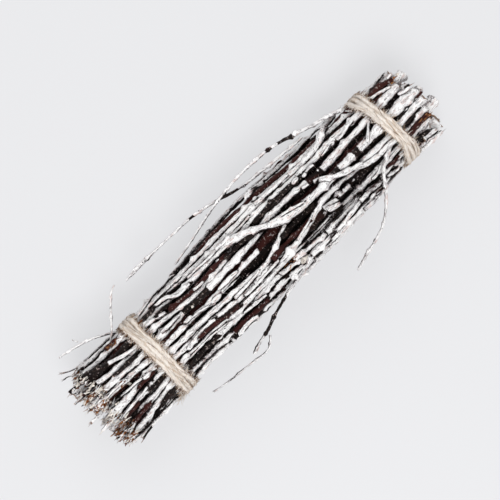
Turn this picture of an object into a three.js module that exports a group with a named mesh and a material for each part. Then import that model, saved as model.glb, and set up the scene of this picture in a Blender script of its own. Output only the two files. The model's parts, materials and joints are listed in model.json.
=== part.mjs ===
// A bundle of birch twigs, whitewashed from outside and bound with two bands of jute twine.
// Millimetres, +Z up. The bundle lies along X with its thick cut ends at low X, and rests on its two bands.
import * as THREE from 'three';

// Colours of the finishes
const WHITEWASH = 0xdcd9dc;
const BARE_BARK = 0x9a8f8c;
const DARK_BARK = 0x2c1a17;
const JUTE = 0xd9cdbb;

// Shared sizes
const AIR = 0.3; // gap between neighbouring pieces
const TWIG_SIDES = 6;
const TOP_STEPS = 20; // straight steps along a twig of the upper face
const INNER_STEPS = 7; // straight steps along a twig inside or below
const STRAY_STEPS = 10;

// The two bands of twine
const LOW_TIE_X = -96.5;
const HIGH_TIE_X = 101;
const LOW_TIE_WIDTH = 9;
const HIGH_TIE_WIDTH = 8.2;
const TWINE_DEPTH = 2.6;
const TIE_DIRECTIONS = 36; // flats round a band

// The gathered twigs: middle of the section, its radius and its underside, at stations along the bundle
const GIRTH = [
  { x: -150, y: 1.5, radius: 29.5, underside: 1.6 },
  { x: LOW_TIE_X, y: 1.2, radius: 27.3, underside: 3 },
  { x: 0, y: 3, radius: 31, underside: 1.4 },
  { x: HIGH_TIE_X, y: 1.2, radius: 25.6, underside: 3 },
  { x: 142, y: -1, radius: 27, underside: 1.6 },
];
const FLATTENING = 0.87; // share of the radius from the middle down to the flattened underside

// Twigs of the upper face as [x, y] routes seen from above
// over counts the layers that a twig lies above its neighbours
const TOP_TWIGS = [
  {
    name: 'top_twig_01', butt: 1.8, tip: 1.6, over: 0,
    route: [[-140.4, 26.2], [-124.4, 26.2], [-106.4, 25.5], [-98.4, 25.2], [-90.4, 24], [-78.4, 24.2],
      [-66.4, 23.5], [-51.4, 23.8], [-36.4, 24.2], [-18.4, 23.6], [-6.4, 23.2], [5.6, 22.4], [15.6, 21.8],
      [27.6, 20.4], [41.6, 20.4], [55.6, 21.2], [66.6, 21.5], [81.6, 21.7], [96.6, 20.7], [111.6, 22.2],
      [126.6, 22.8]],
  },
  {
    name: 'top_twig_02', butt: 1.9, tip: 2, over: 1,
    route: [[-136.4, 22], [-126.4, 21.5], [-116.4, 20.7], [-104.4, 20], [-92.4, 21], [-82.4, 22],
      [-66.4, 21.6], [-53.4, 20.7], [-42.4, 20], [-30.4, 19], [-16.4, 19.5], [-4.4, 19.8], [9.6, 19.7],
      [23.6, 18.7], [43.6, 17.7], [57.6, 17.2], [63.6, 18.5], [69.6, 21], [77.6, 24.5], [83.6, 27], [88.6, 29]],
  },
  {
    name: 'top_twig_03', butt: 1.9, tip: 2.7, over: 2,
    route: [[-140.4, 16.7], [-128.4, 15.7], [-116.4, 15], [-104.4, 15], [-92.4, 16.8], [-81.4, 17.4],
      [-72.4, 18.6], [-67.4, 17.6], [-63.4, 14.8], [-54.4, 14.6], [-44.4, 15.8], [-34.4, 16.5], [-22.4, 15.7],
      [-14.4, 14.2], [-9.4, 12], [-2.4, 8.4], [5.6, 4.2], [11.6, 0.7], [19.6, -0.8], [33.6, -1], [53.6, -1.1],
      [78.6, -1], [96.6, 0.2], [113.6, 0.8], [131.6, 0.4]],
  },
  {
    name: 'top_twig_04', butt: 1.8, tip: 2.3, over: 0,
    route: [[-134.4, 11.8], [-124.4, 10.2], [-112.4, 10.1], [-102.4, 10.2], [-92.4, 11.8], [-83.4, 11.2],
      [-72.4, 9.6], [-61.4, 8], [-52.4, 7.1], [-42.4, 7.6], [-32.4, 9], [-22.4, 11.2], [-12.4, 14.2],
      [-0.4, 16], [13.6, 17], [33.6, 16.8], [55.6, 15.6], [67.6, 15], [81.6, 16.2], [96.6, 15.7],
      [111.6, 15.6], [121.6, 17.7]],
  },
  {
    name: 'top_twig_05', butt: 1.9, tip: 2.4, over: 0,
    route: [[-135.4, 5.8], [-124.4, 4.8], [-112.4, 4], [-102.4, 4], [-92.4, 5], [-84.4, 5.3], [-74.4, 5.6],
      [-64.4, 4.5], [-54.4, 3.8], [-44.4, 3.5], [-32.4, 4.4], [-18.4, 5], [-6.4, 5.6], [-0.4, 7.4], [7.6, 9.8],
      [17.6, 10], [27.6, 9], [39.6, 7.8], [49.6, 5.4], [57.6, 6], [65.6, 8.4], [79.6, 8.4], [96.6, 8.4],
      [109.6, 10.5], [126.6, 11]],
  },
  {
    name: 'top_twig_06', butt: 1.8, tip: 1.5, over: 0,
    route: [[-137.4, 1.8], [-124.4, 1.8], [-114.4, 1.6], [-104.4, 0.7], [-92.4, -1.6], [-82.4, -0.8],
      [-73.4, -1.8], [-66.4, -0.8], [-58.4, -2], [-50.4, -2.6], [-40.4, -1.4], [-28.4, -1.2], [-18.4, -0.8],
      [-9.4, -1]],
  },
  {
    name: 'top_twig_07', butt: 2.4, tip: 1.3, over: 1,
    route: [[-142.4, -7.8], [-132.4, -7.4], [-120.4, -6.1], [-110.4, -5], [-102.4, -5.3], [-92.4, -5.6],
      [-78.4, -6], [-64.4, -6.1], [-52.4, -6.8], [-40.4, -7.8], [-28.4, -9], [-16.4, -10.3], [-10.4, -9.8],
      [-4.4, -7.8], [1.6, -5.4], [7.6, -2.8], [12.6, -0.8]],
  },
  {
    name: 'top_twig_08', butt: 1.4, tip: 1.6, over: 1,
    route: [[42.6, 5], [46.6, 4], [50.6, 1.4], [55.6, -2], [61.6, -4.6], [68.6, -7.4], [75.6, -10.1],
      [85.6, -11.4], [96.6, -12.2], [111.6, -12.8], [127.6, -11.6]],
  },
  {
    name: 'top_twig_09', butt: 1.8, tip: 2.2, over: 0,
    route: [[-137.4, -13], [-126.4, -11.8], [-115.4, -10.2], [-104.4, -10.6], [-92.4, -10.6], [-80.4, -10],
      [-68.4, -10], [-56.4, -10.6], [-44.4, -11.8], [-32.4, -12.6], [-18.4, -13], [-2.4, -13], [13.6, -12.8],
      [29.6, -12.6], [41.6, -11.8], [53.6, -11.4], [59.6, -12.1]],
  },
  {
    name: 'top_twig_10', butt: 1.9, tip: 2, over: 1,
    route: [[-141.4, -20.6], [-136.4, -18.6], [-130.4, -16.2], [-122.4, -16], [-112.4, -17], [-103.4, -15.3],
      [-92.4, -15.4], [-82.4, -14.2], [-70.4, -14.8], [-58.4, -15.4], [-48.4, -17], [-38.4, -16.4],
      [-24.4, -15.2], [-10.4, -14.8], [1.6, -14.4], [11.6, -13.4], [21.6, -11.4], [30.6, -8.6], [39.6, -5.6],
      [49.6, -5.4], [59.6, -6.6], [71.6, -8.2], [83.6, -8.4], [96.6, -7.8], [111.6, -7], [131.6, -6.4]],
  },
  {
    name: 'top_twig_11', butt: 2, tip: 2, over: 0,
    route: [[-146.4, -23.2], [-134.4, -23.6], [-124.4, -22.2], [-114.4, -19.2], [-103.4, -17.8],
      [-92.4, -18.2], [-80.4, -17.4], [-68.4, -17.8], [-56.4, -18.8], [-44.4, -19.4], [-30.4, -19.4],
      [-16.4, -19.1], [-2.4, -18.8], [11.6, -18.3], [27.6, -18.2], [43.6, -17], [57.6, -17], [73.6, -17],
      [85.6, -16.8], [96.6, -15.8], [111.6, -16.2], [125.6, -16]],
  },
  {
    name: 'top_twig_12', butt: 1.9, tip: 1.6, over: 0,
    route: [[-140.4, -26.4], [-128.4, -25.8], [-116.4, -23.2], [-104.4, -21.2], [-92.4, -20.6], [-84.4, -21.6],
      [-72.4, -22.8], [-64.4, -23], [-52.4, -22.4], [-38.4, -22.6], [-26.4, -23], [-14.4, -23.4],
      [-2.4, -23.2], [11.6, -22.2], [27.6, -21.8], [43.6, -21.4], [55.6, -21.2], [69.6, -21], [85.6, -20.4],
      [96.6, -19.3], [111.6, -19.8], [123.6, -19.8]],
  },
  {
    name: 'top_twig_13', butt: 1.8, tip: 1.9, over: 0,
    route: [[-148, -25.5], [-124, -25.5], [-102, -23.2], [-92, -23.5], [-63, -26], [-23, -26], [-2, -26.3],
      [26, -25.5], [50, -24.3], [60, -23], [77, -24], [99, -22.3], [118, -24], [127, -25.5]],
  },
  {
    name: 'top_twig_14', butt: 1.8, tip: 1.7, over: 0,
    route: [[-141, -28], [-128, -27.3], [-103, -24.5], [-92, -25], [-62, -27.5], [-31, -28], [0, -27.5], [37, -27.8],
      [74, -27], [92, -25.5], [101, -24.2], [110, -25.8], [129, -27]],
  },
  {
    name: 'top_twig_15', butt: 1.5, tip: 1.5, over: 0,
    route: [[-39.4, 26], [-21.4, 26.8], [-6.4, 26.5], [8.6, 25.6], [23.6, 24.4], [38.6, 23.6], [53.6, 23.6],
      [68.6, 24], [83.6, 24], [94.6, 23.2], [108.6, 19.8], [126.6, 17.2]],
  },
  {
    name: 'top_twig_16', butt: 1.5, tip: 1.5, over: 0,
    route: [[-58.4, 28.7], [-46.4, 30.7], [-26.4, 31.8], [-6.4, 31.8], [13.6, 31.2], [33.6, 30.6], [53.6, 30],
      [71.6, 28.4]],
  },
];

// Shoots that stand clear of the bundle, as [x, y, z] routes. bud is the radius of a swollen tip.
const STRAYS = [
  {
    name: 'stray_1', butt: 1.3, tip: 0.8, bud: 1.6,
    route: [[62, 31.5, 38], [37, 33.6, 38], [21, 34.5, 37], [3, 38.5, 36], [-2, 40, 36], [-10.5, 44.6, 35.5],
      [-18.5, 45.8, 35], [-31, 46.5, 34], [-62, 47.5, 32], [-78, 46.8, 31]],
  },
  {
    name: 'stray_2', butt: 1.6, tip: 0.7, bud: 0,
    route: [[92, 26.5, 38], [70, 31.5, 41], [62.5, 34, 42], [55, 37, 42.5], [46.5, 40.2, 42.5], [36, 42, 42],
      [23, 42.5, 41.5], [0.6, 41.2, 40.5], [-10, 39.5, 40], [-22, 37, 39], [-37, 33.6, 38], [-50, 31.5, 37]],
  },
  {
    name: 'stray_3', butt: 0.9, tip: 0.8, bud: 0,
    route: [[-116, 22, 38], [-107, 29, 38], [-103.5, 33, 38], [-88, 48.4, 37], [-85, 49.2, 37]],
  },
  {
    name: 'stray_4', butt: 1.1, tip: 0.7, bud: 0,
    route: [[-103, 27, 34], [-108.5, 31, 34], [-115, 34.7, 34.5], [-121, 37.2, 35], [-124.5, 38.4, 35.5],
      [-130, 39.8, 36], [-136, 41.3, 36], [-140, 41.5, 36]],
  },
  {
    name: 'stray_4_fork', butt: 0.7, tip: 0.5, bud: 0,
    route: [[-124.8, 40, 36], [-125.8, 41.6, 37], [-126.6, 43.4, 38]],
  },
  {
    name: 'stray_5', butt: 1.5, tip: 1.1, bud: 0,
    route: [[27, -24, 42], [9, -26.5, 42], [-3, -28, 40.5], [-12.4, -30, 38.5], [-31, -34.5, 36], [-39, -37.8, 35],
      [-53.3, -39.7, 34], [-55.5, -41.7, 34]],
  },
  {
    name: 'stray_5_fork', butt: 0.9, tip: 0.6, bud: 0,
    route: [[-39.8, -40, 34.6], [-41.5, -42, 34], [-46, -46.2, 33], [-49.3, -46.3, 33], [-61.4, -43.7, 32],
      [-73.2, -42.5, 31], [-89, -39.5, 30]],
  },
  {
    name: 'stray_6', butt: 1.6, tip: 0.8, bud: 1.5,
    route: [[109, -9.5, 44], [97, -10.6, 45], [90, -13, 48], [84, -15.2, 50.5], [80, -19, 50], [76, -24, 48],
      [73.5, -28, 45.5], [70, -32.5, 42], [64, -38, 39], [56, -44, 36], [51, -44.8, 35], [40, -47.7, 34],
      [32, -49.6, 33], [26.5, -50.8, 33]],
  },
];

// Shoots that pass outside the bands
const LOOSE_STRAYS = ['stray_3', 'stray_4'];

// Rings of hidden twigs in the section: share of the radius out from the middle, first and last angle, how many
// there are and how thick they are
const INNER_RINGS = [
  { name: 'under_twig', reach: 0.8, from: 10, to: 170, count: 11, radius: 3.2 },
  { name: 'side_twig', reach: 1, from: 188, to: 214, count: 2, radius: 3.3 },
  { name: 'edge_twig', reach: 1, from: -34, to: -8, count: 2, radius: 3.3 },
  { name: 'bottom_twig', reach: 1, from: 235, to: 305, count: 5, radius: 3.9 },
  { name: 'low_twig', reach: 0.66, from: 190, to: 350, count: 6, radius: 3.9 },
  { name: 'core_twig', reach: 0.4, from: 30, to: 330, count: 6, radius: 4.4 },
  { name: 'middle_twig', reach: 0, from: 0, to: 0, count: 1, radius: 4.8 },
];
const INNER_START = -144;
const INNER_END = 131;
const INNER_STAGGER = 6; // how far the cut ends of hidden twigs lie apart
const INNER_TAPER = 0.84; // thickness at the far end as a share of the thickness at the butt
const WANDER = 1.6; // sideways wander of a hidden twig

// How the twigs are laid against each other
const SETTLE_PASSES = 420;
const SETTLE_EASE = 60; // last passes, in which only touching twigs still move
const NEIGHBOUR_REACH = 9; // steps further apart than this are not compared
const NEIGHBOUR_REFRESH = 20;
const LAYER_RISE = 4; // starting height of a crossing twig above the layer below
const LANE_HOLD = 0.12;
const CROWN_HOLD = 0.05;
const INNER_HOLD = 0.02;
const STRAY_HOLD = 0.1;
const STRAIGHTEN = 0.08;
const THINNING_PASSES = 40;

function blend(from, to, share) {
  return from + (to - from) * share;
}

// Section of the gathered twigs at x, eased from station to station
function girthAt(x) {
  const last = GIRTH.length - 1;
  let i = 0;
  while (i < last - 1 && x > GIRTH[i + 1].x) i += 1;
  const a = GIRTH[i];
  const b = GIRTH[i + 1];
  const share = THREE.MathUtils.smoothstep(x, a.x, b.x);
  const radius = blend(a.radius, b.radius, share);
  const underside = blend(a.underside, b.underside, share);
  return { y: blend(a.y, b.y, share), radius, underside, z: underside + FLATTENING * radius };
}

// Points at equal steps along a smooth curve through the route
function evenPoints(route, steps) {
  const corners = route.map(([x, y, z]) => new THREE.Vector3(x, y, z));
  const curve = new THREE.CatmullRomCurve3(corners, false, 'centripetal');
  return curve.getSpacedPoints(steps);
}

function taperedRadii(butt, tip, steps) {
  return Array.from({ length: steps + 1 }, (_, k) => blend(butt, tip, k / steps));
}

// Height at which a twig of the given radius touches the top of the gathered twigs from inside
function crownHeight(x, y, radius) {
  const girth = girthAt(x);
  const reach = girth.radius - radius;
  const across = Math.min(Math.abs(y - girth.y), reach);
  return girth.z + Math.sqrt(reach * reach - across * across);
}

function topTwig({ name, butt, tip, over, route }) {
  const lane = evenPoints(route.map(([x, y]) => [x, y, crownHeight(x, y, butt)]), TOP_STEPS);
  const rise = over * LAYER_RISE;
  return {
    name, lane, points: lane.map((p) => new THREE.Vector3(p.x, p.y, p.z + rise)),
    radii: taperedRadii(butt, tip, TOP_STEPS), holdY: LANE_HOLD, holdZ: CROWN_HOLD, proud: rise, colour: WHITEWASH,
  };
}

function strayTwig({ name, butt, tip, bud, route }) {
  const points = evenPoints(route, STRAY_STEPS);
  const radii = taperedRadii(butt, tip, STRAY_STEPS);
  if (bud > 0) radii[STRAY_STEPS - 1] = bud;
  return {
    name, points, radii, lane: points.map((p) => p.clone()),
    holdY: STRAY_HOLD, holdZ: STRAY_HOLD, proud: Infinity, colour: BARE_BARK,
  };
}

// One hidden twig: it keeps its share of the section all along and wanders a little
function innerTwig(name, reach, angle, radius, order) {
  const start = INNER_START + INNER_STAGGER * Math.sin(order * 2.4);
  const end = INNER_END + INNER_STAGGER * Math.sin(order * 3.7 + 1);
  const route = Array.from({ length: INNER_STEPS + 1 }, (_, k) => {
    const x = blend(start, end, k / INNER_STEPS);
    const girth = girthAt(x);
    const out = reach * (girth.radius - radius);
    const wanderY = WANDER * Math.sin(x / 37 + order);
    const wanderZ = WANDER * Math.cos(x / 43 + 2 * order);
    return [x, girth.y + out * Math.cos(angle) + wanderY, girth.z + out * Math.sin(angle) + wanderZ];
  });
  const points = route.map(([x, y, z]) => new THREE.Vector3(x, y, z));
  return {
    name, points, radii: taperedRadii(radius, radius * INNER_TAPER, INNER_STEPS), lane: points.map((p) => p.clone()),
    holdY: INNER_HOLD, holdZ: INNER_HOLD, proud: 0, colour: DARK_BARK,
  };
}

function innerTwigs() {
  const twigs = [];
  for (const ring of INNER_RINGS) {
    for (let i = 0; i < ring.count; i += 1) {
      const share = ring.count > 1 ? i / (ring.count - 1) : 0;
      const angle = THREE.MathUtils.degToRad(blend(ring.from, ring.to, share));
      const name = `${ring.name}_${String(i + 1).padStart(2, '0')}`;
      twigs.push(innerTwig(name, ring.reach, angle, ring.radius, twigs.length));
    }
  }
  return twigs;
}

// Where the straight steps p-q and r-s come closest: shares along each, and the vector between them
function closestShares(p, q, r, s) {
  const along = new THREE.Vector3().subVectors(q, p);
  const other = new THREE.Vector3().subVectors(s, r);
  const between = new THREE.Vector3().subVectors(p, r);
  const a = along.lengthSq();
  const e = other.lengthSq();
  const b = along.dot(other);
  const c = along.dot(between);
  const f = other.dot(between);
  const spread = a * e - b * b;
  let u = spread > 1e-9 ? THREE.MathUtils.clamp((b * f - c * e) / spread, 0, 1) : 0.5;
  let v = (b * u + f) / e;
  if (v < 0 || v > 1) {
    v = THREE.MathUtils.clamp(v, 0, 1);
    u = THREE.MathUtils.clamp((b * v - c) / a, 0, 1);
  }
  between.addScaledVector(along, u).addScaledVector(other, -v);
  return { u, v, between };
}

// Pairs of steps of different twigs that lie near each other
function neighbours(twigs) {
  const steps = [];
  twigs.forEach((twig, owner) => {
    for (let k = 0; k + 1 < twig.points.length; k += 1) {
      const box = new THREE.Box3().setFromPoints([twig.points[k], twig.points[k + 1]]);
      steps.push({ twig, owner, k, box: box.expandByScalar(NEIGHBOUR_REACH / 2) });
    }
  });
  const pairs = [];
  for (let i = 0; i < steps.length; i += 1) {
    for (let j = i + 1; j < steps.length; j += 1) {
      const apart = steps[i].owner === steps[j].owner || !steps[i].box.intersectsBox(steps[j].box);
      if (!apart) pairs.push([steps[i], steps[j]]);
    }
  }
  return pairs;
}

function measure(one, two) {
  const { u, v, between } = closestShares(
    one.twig.points[one.k], one.twig.points[one.k + 1], two.twig.points[two.k], two.twig.points[two.k + 1],
  );
  const reach = blend(one.twig.radii[one.k], one.twig.radii[one.k + 1], u)
    + blend(two.twig.radii[two.k], two.twig.radii[two.k + 1], v);
  return { u, v, between, shortage: reach + AIR - between.length() };
}

function nudge(step, share, push) {
  const here = 1 - share;
  const scale = 1 / (here * here + share * share);
  step.twig.points[step.k].addScaledVector(push, here * scale);
  step.twig.points[step.k + 1].addScaledVector(push, share * scale);
}

// Pushes two steps apart across the bundle, never along it
function pushApart([one, two]) {
  const { u, v, between, shortage } = measure(one, two);
  if (shortage <= 0) return;
  between.x = 0;
  if (between.lengthSq() < 1e-6) between.set(0, 0, 1);
  between.setLength(shortage / 2);
  nudge(one, u, between);
  nudge(two, v, between.negate());
}

function easeTwig(twig) {
  const { points, lane } = twig;
  for (let k = 0; k < points.length; k += 1) {
    const p = points[k];
    p.y += (lane[k].y - p.y) * twig.holdY;
    p.z += (lane[k].z - p.z) * twig.holdZ;
    if (k > 0 && k + 1 < points.length) {
      p.y += ((points[k - 1].y + points[k + 1].y) / 2 - p.y) * STRAIGHTEN;
      p.z += ((points[k - 1].z + points[k + 1].z) / 2 - p.z) * STRAIGHTEN;
    }
  }
}

function keepInside(twig) {
  twig.points.forEach((p, k) => {
    const girth = girthAt(p.x);
    const reach = girth.radius - twig.radii[k] + twig.proud;
    const out = Math.hypot(p.y - girth.y, p.z - girth.z);
    if (out > reach) {
      p.y = girth.y + ((p.y - girth.y) * reach) / out;
      p.z = girth.z + ((p.z - girth.z) * reach) / out;
    }
    p.z = Math.max(p.z, girth.underside + twig.radii[k]);
  });
}

function settle(twigs) {
  let pairs = [];
  for (let pass = 0; pass < SETTLE_PASSES; pass += 1) {
    if (pass % NEIGHBOUR_REFRESH === 0) pairs = neighbours(twigs);
    if (pass < SETTLE_PASSES - SETTLE_EASE) twigs.forEach(easeTwig);
    pairs.forEach(pushApart);
    twigs.forEach(keepInside);
  }
}

// Where two twigs are still too close, both are made thinner there
function thin(twigs) {
  const pairs = neighbours(twigs);
  for (let pass = 0; pass < THINNING_PASSES; pass += 1) {
    for (const [one, two] of pairs) {
      const { u, v, shortage } = measure(one, two);
      if (shortage > 0) {
        for (const [step, share] of [[one, u], [two, v]]) {
          if (share < 1) step.twig.radii[step.k] -= (shortage / 2) * Math.min(1, 2 * (1 - share));
          if (share > 0) step.twig.radii[step.k + 1] -= (shortage / 2) * Math.min(1, 2 * share);
        }
      }
    }
  }
}

// A cylinder bent along the points, with a radius for each of them
function bentCylinder(points, radii) {
  const steps = points.length - 1;
  const geometry = new THREE.CylinderGeometry(1, 1, 1, TWIG_SIDES, steps);
  const tangents = points.map((_, k) => new THREE.Vector3()
    .subVectors(points[Math.min(k + 1, steps)], points[Math.max(k - 1, 0)]).normalize());
  const ups = tangents.map((t) => new THREE.Vector3(0, 0, 1).addScaledVector(t, -t.z).normalize());
  const position = geometry.attributes.position;
  const place = new THREE.Vector3();
  for (let i = 0; i < position.count; i += 1) {
    const ring = Math.round((0.5 - position.getY(i)) * steps);
    const side = new THREE.Vector3().crossVectors(ups[ring], tangents[ring]);
    place.copy(points[ring])
      .addScaledVector(side, position.getX(i) * radii[ring])
      .addScaledVector(ups[ring], position.getZ(i) * radii[ring]);
    position.setXYZ(i, place.x, place.y, place.z);
  }
  geometry.computeVertexNormals();
  return geometry;
}

// Centre and radius of each twig where it passes x, with air round it
function sectionAt(twigs, x) {
  const circles = [];
  for (const { points, radii } of twigs) {
    for (let k = 0; k + 1 < points.length; k += 1) {
      const share = (x - points[k].x) / (points[k + 1].x - points[k].x);
      if (share >= 0 && share <= 1) {
        const centre = points[k].clone().lerp(points[k + 1], share);
        circles.push({ y: centre.y, z: centre.z, radius: blend(radii[k], radii[k + 1], share) + AIR });
      }
    }
  }
  return circles;
}

// A band of three turns of twine laid tight round the twigs, pressed flat where the bundle lies on it
function band(twigs, x, width) {
  const half = width / 2;
  const circles = [-1, -0.5, 0, 0.5, 1].flatMap((side) => sectionAt(twigs, x + side * half));
  const normals = Array.from({ length: TIE_DIRECTIONS }, (_, i) => {
    const angle = (i / TIE_DIRECTIONS) * 2 * Math.PI;
    return { y: Math.cos(angle), z: Math.sin(angle) };
  });
  const reach = normals.map((n) => Math.max(...circles.map((c) => c.y * n.y + c.z * n.z + c.radius)));
  const down = (TIE_DIRECTIONS * 3) / 4;
  // Corner i joins flats i and i + 1 at the given depth of twine outside the twigs
  const corner = (i, depth, pressed) => {
    const j = (i + 1) % TIE_DIRECTIONS;
    const a = normals[i];
    const b = normals[j];
    const ra = pressed && i === down ? 0 : reach[i] + depth;
    const rb = pressed && j === down ? 0 : reach[j] + depth;
    const spread = a.y * b.z - a.z * b.y;
    return { y: (ra * b.z - rb * a.z) / spread, z: (rb * a.y - ra * b.y) / spread };
  };
  // Outline of the band's section as [depth, share of the half width], outer face first
  const section = [
    [1, 0.13], [0.68, 0.33], [0.97, 0.52], [0.94, 0.8], [0.5, 1], [0, 0.97],
    [0, -0.97], [0.5, -1], [0.94, -0.8], [0.97, -0.52], [0.68, -0.33], [1, -0.13],
  ];
  const geometry = new THREE.TorusGeometry(1, 0.5, section.length, TIE_DIRECTIONS);
  const position = geometry.attributes.position;
  for (let j = 0; j <= section.length; j += 1) {
    const [depth, share] = section[j % section.length];
    for (let i = 0; i <= TIE_DIRECTIONS; i += 1) {
      const spot = corner(i % TIE_DIRECTIONS, depth * TWINE_DEPTH, depth > 0.5);
      position.setXYZ(j * (TIE_DIRECTIONS + 1) + i, x + share * half, spot.y, spot.z);
    }
  }
  geometry.computeVertexNormals();
  return geometry;
}

function finish(colour) {
  return new THREE.MeshStandardMaterial({ color: colour, roughness: 0.85, metalness: 0 });
}

function piece(name, geometry, colour) {
  const mesh = new THREE.Mesh(geometry, finish(colour));
  mesh.name = name;
  return mesh;
}

const twigs = [...TOP_TWIGS.map(topTwig), ...STRAYS.map(strayTwig), ...innerTwigs()];
settle(twigs);
thin(twigs);

const bundle = new THREE.Group();
for (const twig of twigs) bundle.add(piece(twig.name, bentCylinder(twig.points, twig.radii), twig.colour));
const bound = twigs.filter((twig) => !LOOSE_STRAYS.includes(twig.name));
bundle.add(piece('low_tie', band(bound, LOW_TIE_X, LOW_TIE_WIDTH), JUTE));
bundle.add(piece('high_tie', band(bound, HIGH_TIE_X, HIGH_TIE_WIDTH), JUTE));

// The origin is under the middle of the whole bundle
const box = new THREE.Box3().setFromObject(bundle);
bundle.position.set(-(box.min.x + box.max.x) / 2, -(box.min.y + box.max.y) / 2, 0);

export default bundle;
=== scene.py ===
"""A bundle of whitewashed birch twigs bound with jute twine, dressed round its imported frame.

Each twig of the frame is replaced by a bark surface carried along the same middle line, and each band by
turns of laid twine. Slender twigs, buds, splinters and loose fibres too small for the frame are laid on
those. Sizes are in millimetres until a mesh is written, in the frame's own axes: +X along the twigs, +Z up.
"""

import itertools
import json
import logging
import math
from dataclasses import dataclass, field
from enum import Enum

import bpy
import numpy as np
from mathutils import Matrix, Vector


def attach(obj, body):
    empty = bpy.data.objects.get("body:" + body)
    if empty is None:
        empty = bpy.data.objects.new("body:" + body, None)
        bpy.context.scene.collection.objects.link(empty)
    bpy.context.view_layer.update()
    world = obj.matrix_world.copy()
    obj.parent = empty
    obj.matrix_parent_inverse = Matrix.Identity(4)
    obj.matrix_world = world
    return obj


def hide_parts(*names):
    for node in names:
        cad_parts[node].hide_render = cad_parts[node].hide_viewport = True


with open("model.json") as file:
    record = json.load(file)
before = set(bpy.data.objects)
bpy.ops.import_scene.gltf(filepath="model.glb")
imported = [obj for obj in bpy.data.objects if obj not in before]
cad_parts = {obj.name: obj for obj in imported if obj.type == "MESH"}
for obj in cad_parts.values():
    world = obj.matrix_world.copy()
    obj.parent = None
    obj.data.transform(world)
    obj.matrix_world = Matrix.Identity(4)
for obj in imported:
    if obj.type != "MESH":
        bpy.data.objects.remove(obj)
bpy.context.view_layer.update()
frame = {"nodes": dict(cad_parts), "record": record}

Array = np.ndarray
Random = np.random.Generator
Socket = bpy.types.NodeSocket
Span = tuple[float, float]
Triple = tuple[float, float, float]  # a place or a colour

METRES = 0.001
TURN = 2 * math.pi
UPWARDS = np.array([0.0, 0.0, 1.0])
SKEW = np.array([0.31, 0.52, 0.79])  # a direction that no fibre has, to find one across it
BODY = "root"
PATTERN_GAP = 53.0  # distance between the places at which two twigs take their patterns

# Seeds, apart from those of the frame's twigs, which count from 0
TWIG_SEED = 301
BUD_SEED = 500
SPLINTER_SEED = 77
HEAP_SEED = 8000
END_SEED = 9000
LOW_TIE_SEED = 101
HIGH_TIE_SEED = 102

log = logging.getLogger("birch_bundle")


class Slot(Enum):
    """The record's material slots."""

    PAINTED = "whitewashed_twig"
    DARK = "dark_twig"
    SHOOT = "bare_shoot"
    TWINE = "jute_twine"


class Coat(Enum):
    """What covers a twig: its share of whitewash, the redness of its bark, and how far that is torn off."""

    WHITE = (1.0, 0.35, 0.0)
    GREY = (0.86, 0.1, 0.0)
    PATCHY = (0.62, 0.4, 0.0)
    DARK = (0.12, 0.1, 0.0)
    RED = (0.1, 1.0, 0.0)
    TORN = (0.1, 0.6, 0.5)
    PEELED = (0.25, 0.6, 1.0)


def smoothstep(low: float, high: float, value: Array) -> Array:
    """Eases value from 0 at low to 1 at high.

    Args:
        low: where the step starts.
        high: where it ends.
        value: what is eased.

    Returns:
        The eased share, as large as value.
    """
    share = np.clip((value - low) / (high - low), 0.0, 1.0)
    return share * share * (3 - 2 * share)


def unit(vectors: Array) -> Array:
    """Vectors of length one along the last axis."""
    return vectors / np.maximum(np.linalg.norm(vectors, axis=-1, keepdims=True), 1e-9)


def even_angles(count: int) -> Array:
    """Angles at even steps round one turn."""
    return np.arange(count) / count * TURN


def rings(side: Array, up: Array, around: Array) -> Array:
    """Directions at the angles around, for one pair of directions side and up or for each of many."""
    return side[..., None, :] * np.cos(around)[:, None] + up[..., None, :] * np.sin(around)[:, None]


def joined(*parts: Array) -> Array:
    """Vectors made of arrays that are first stretched to one shape."""
    return np.stack(np.broadcast_arrays(*parts), axis=-1)


def curl(start: Array, heading: Array, bent: Array, reach: float, count: int) -> Array:
    """A line that curves away: start plus reach times the sum of heading times s and bent times s squared.

    Args:
        start: its first point.
        heading: its direction there.
        bent: which way and how far it curves.
        reach: its length, if heading is of length one.
        count: how many points it has, with s at even steps from 0 to 1.

    Returns:
        Its points, one row each.
    """
    steps = np.linspace(0, 1, count)[:, None]
    return start + (heading * steps + bent * steps**2) * reach


def smooth_line(values: Array, width: int) -> Array:
    """Means of the rows under a bell of the given width, the ends held."""
    half = width // 2
    bell = np.hanning(2 * half + 3)[1:-1]
    padded = np.pad(values, ((half, half), (0, 0)), mode="edge")
    return np.stack([np.convolve(column, bell / bell.sum(), mode="valid") for column in padded.T], axis=-1)


def ripple(rng: Random, along: Array, wave: float, terms: int = 5) -> Array:
    """A smooth uneven line: the mean of sines with seeded phases and lengths near wave.

    Args:
        rng: where phases and lengths come from.
        along: distances in millimetres.
        wave: typical wave length in millimetres.
        terms: how many sines are added.

    Returns:
        Values of about -1 to 1, as many as along.
    """
    lengths = wave * rng.uniform(0.55, 1.8, terms)
    phases = rng.uniform(0, TURN, terms)
    waves = np.sin(TURN * along[:, None] / lengths + phases)
    return waves.sum(axis=1) / math.sqrt(terms)


def relief(rng: Random, along: Array, around: Array, wave: float, lobes: int) -> Array:
    """An uneven closed skin: sines of along and of whole turns round it, added with seeded phases.

    Args:
        rng: where phases and lengths come from.
        along: distances of the rows in millimetres.
        around: angles of the columns.
        wave: typical wave length along the rows.
        lobes: the most humps that one wave has round the skin.

    Returns:
        Values of about -1 to 1, rows by columns.
    """
    terms = 7  # as many sines as keep the skin from looking regular
    lengths = wave * rng.uniform(0.5, 2.0, terms)
    turns = rng.integers(0, lobes + 1, terms)
    phases = rng.uniform(0, TURN, terms)
    waves = np.sin(TURN * along[:, None, None] / lengths + around[None, :, None] * turns + phases)
    return waves.sum(axis=2) / math.sqrt(terms)


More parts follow.
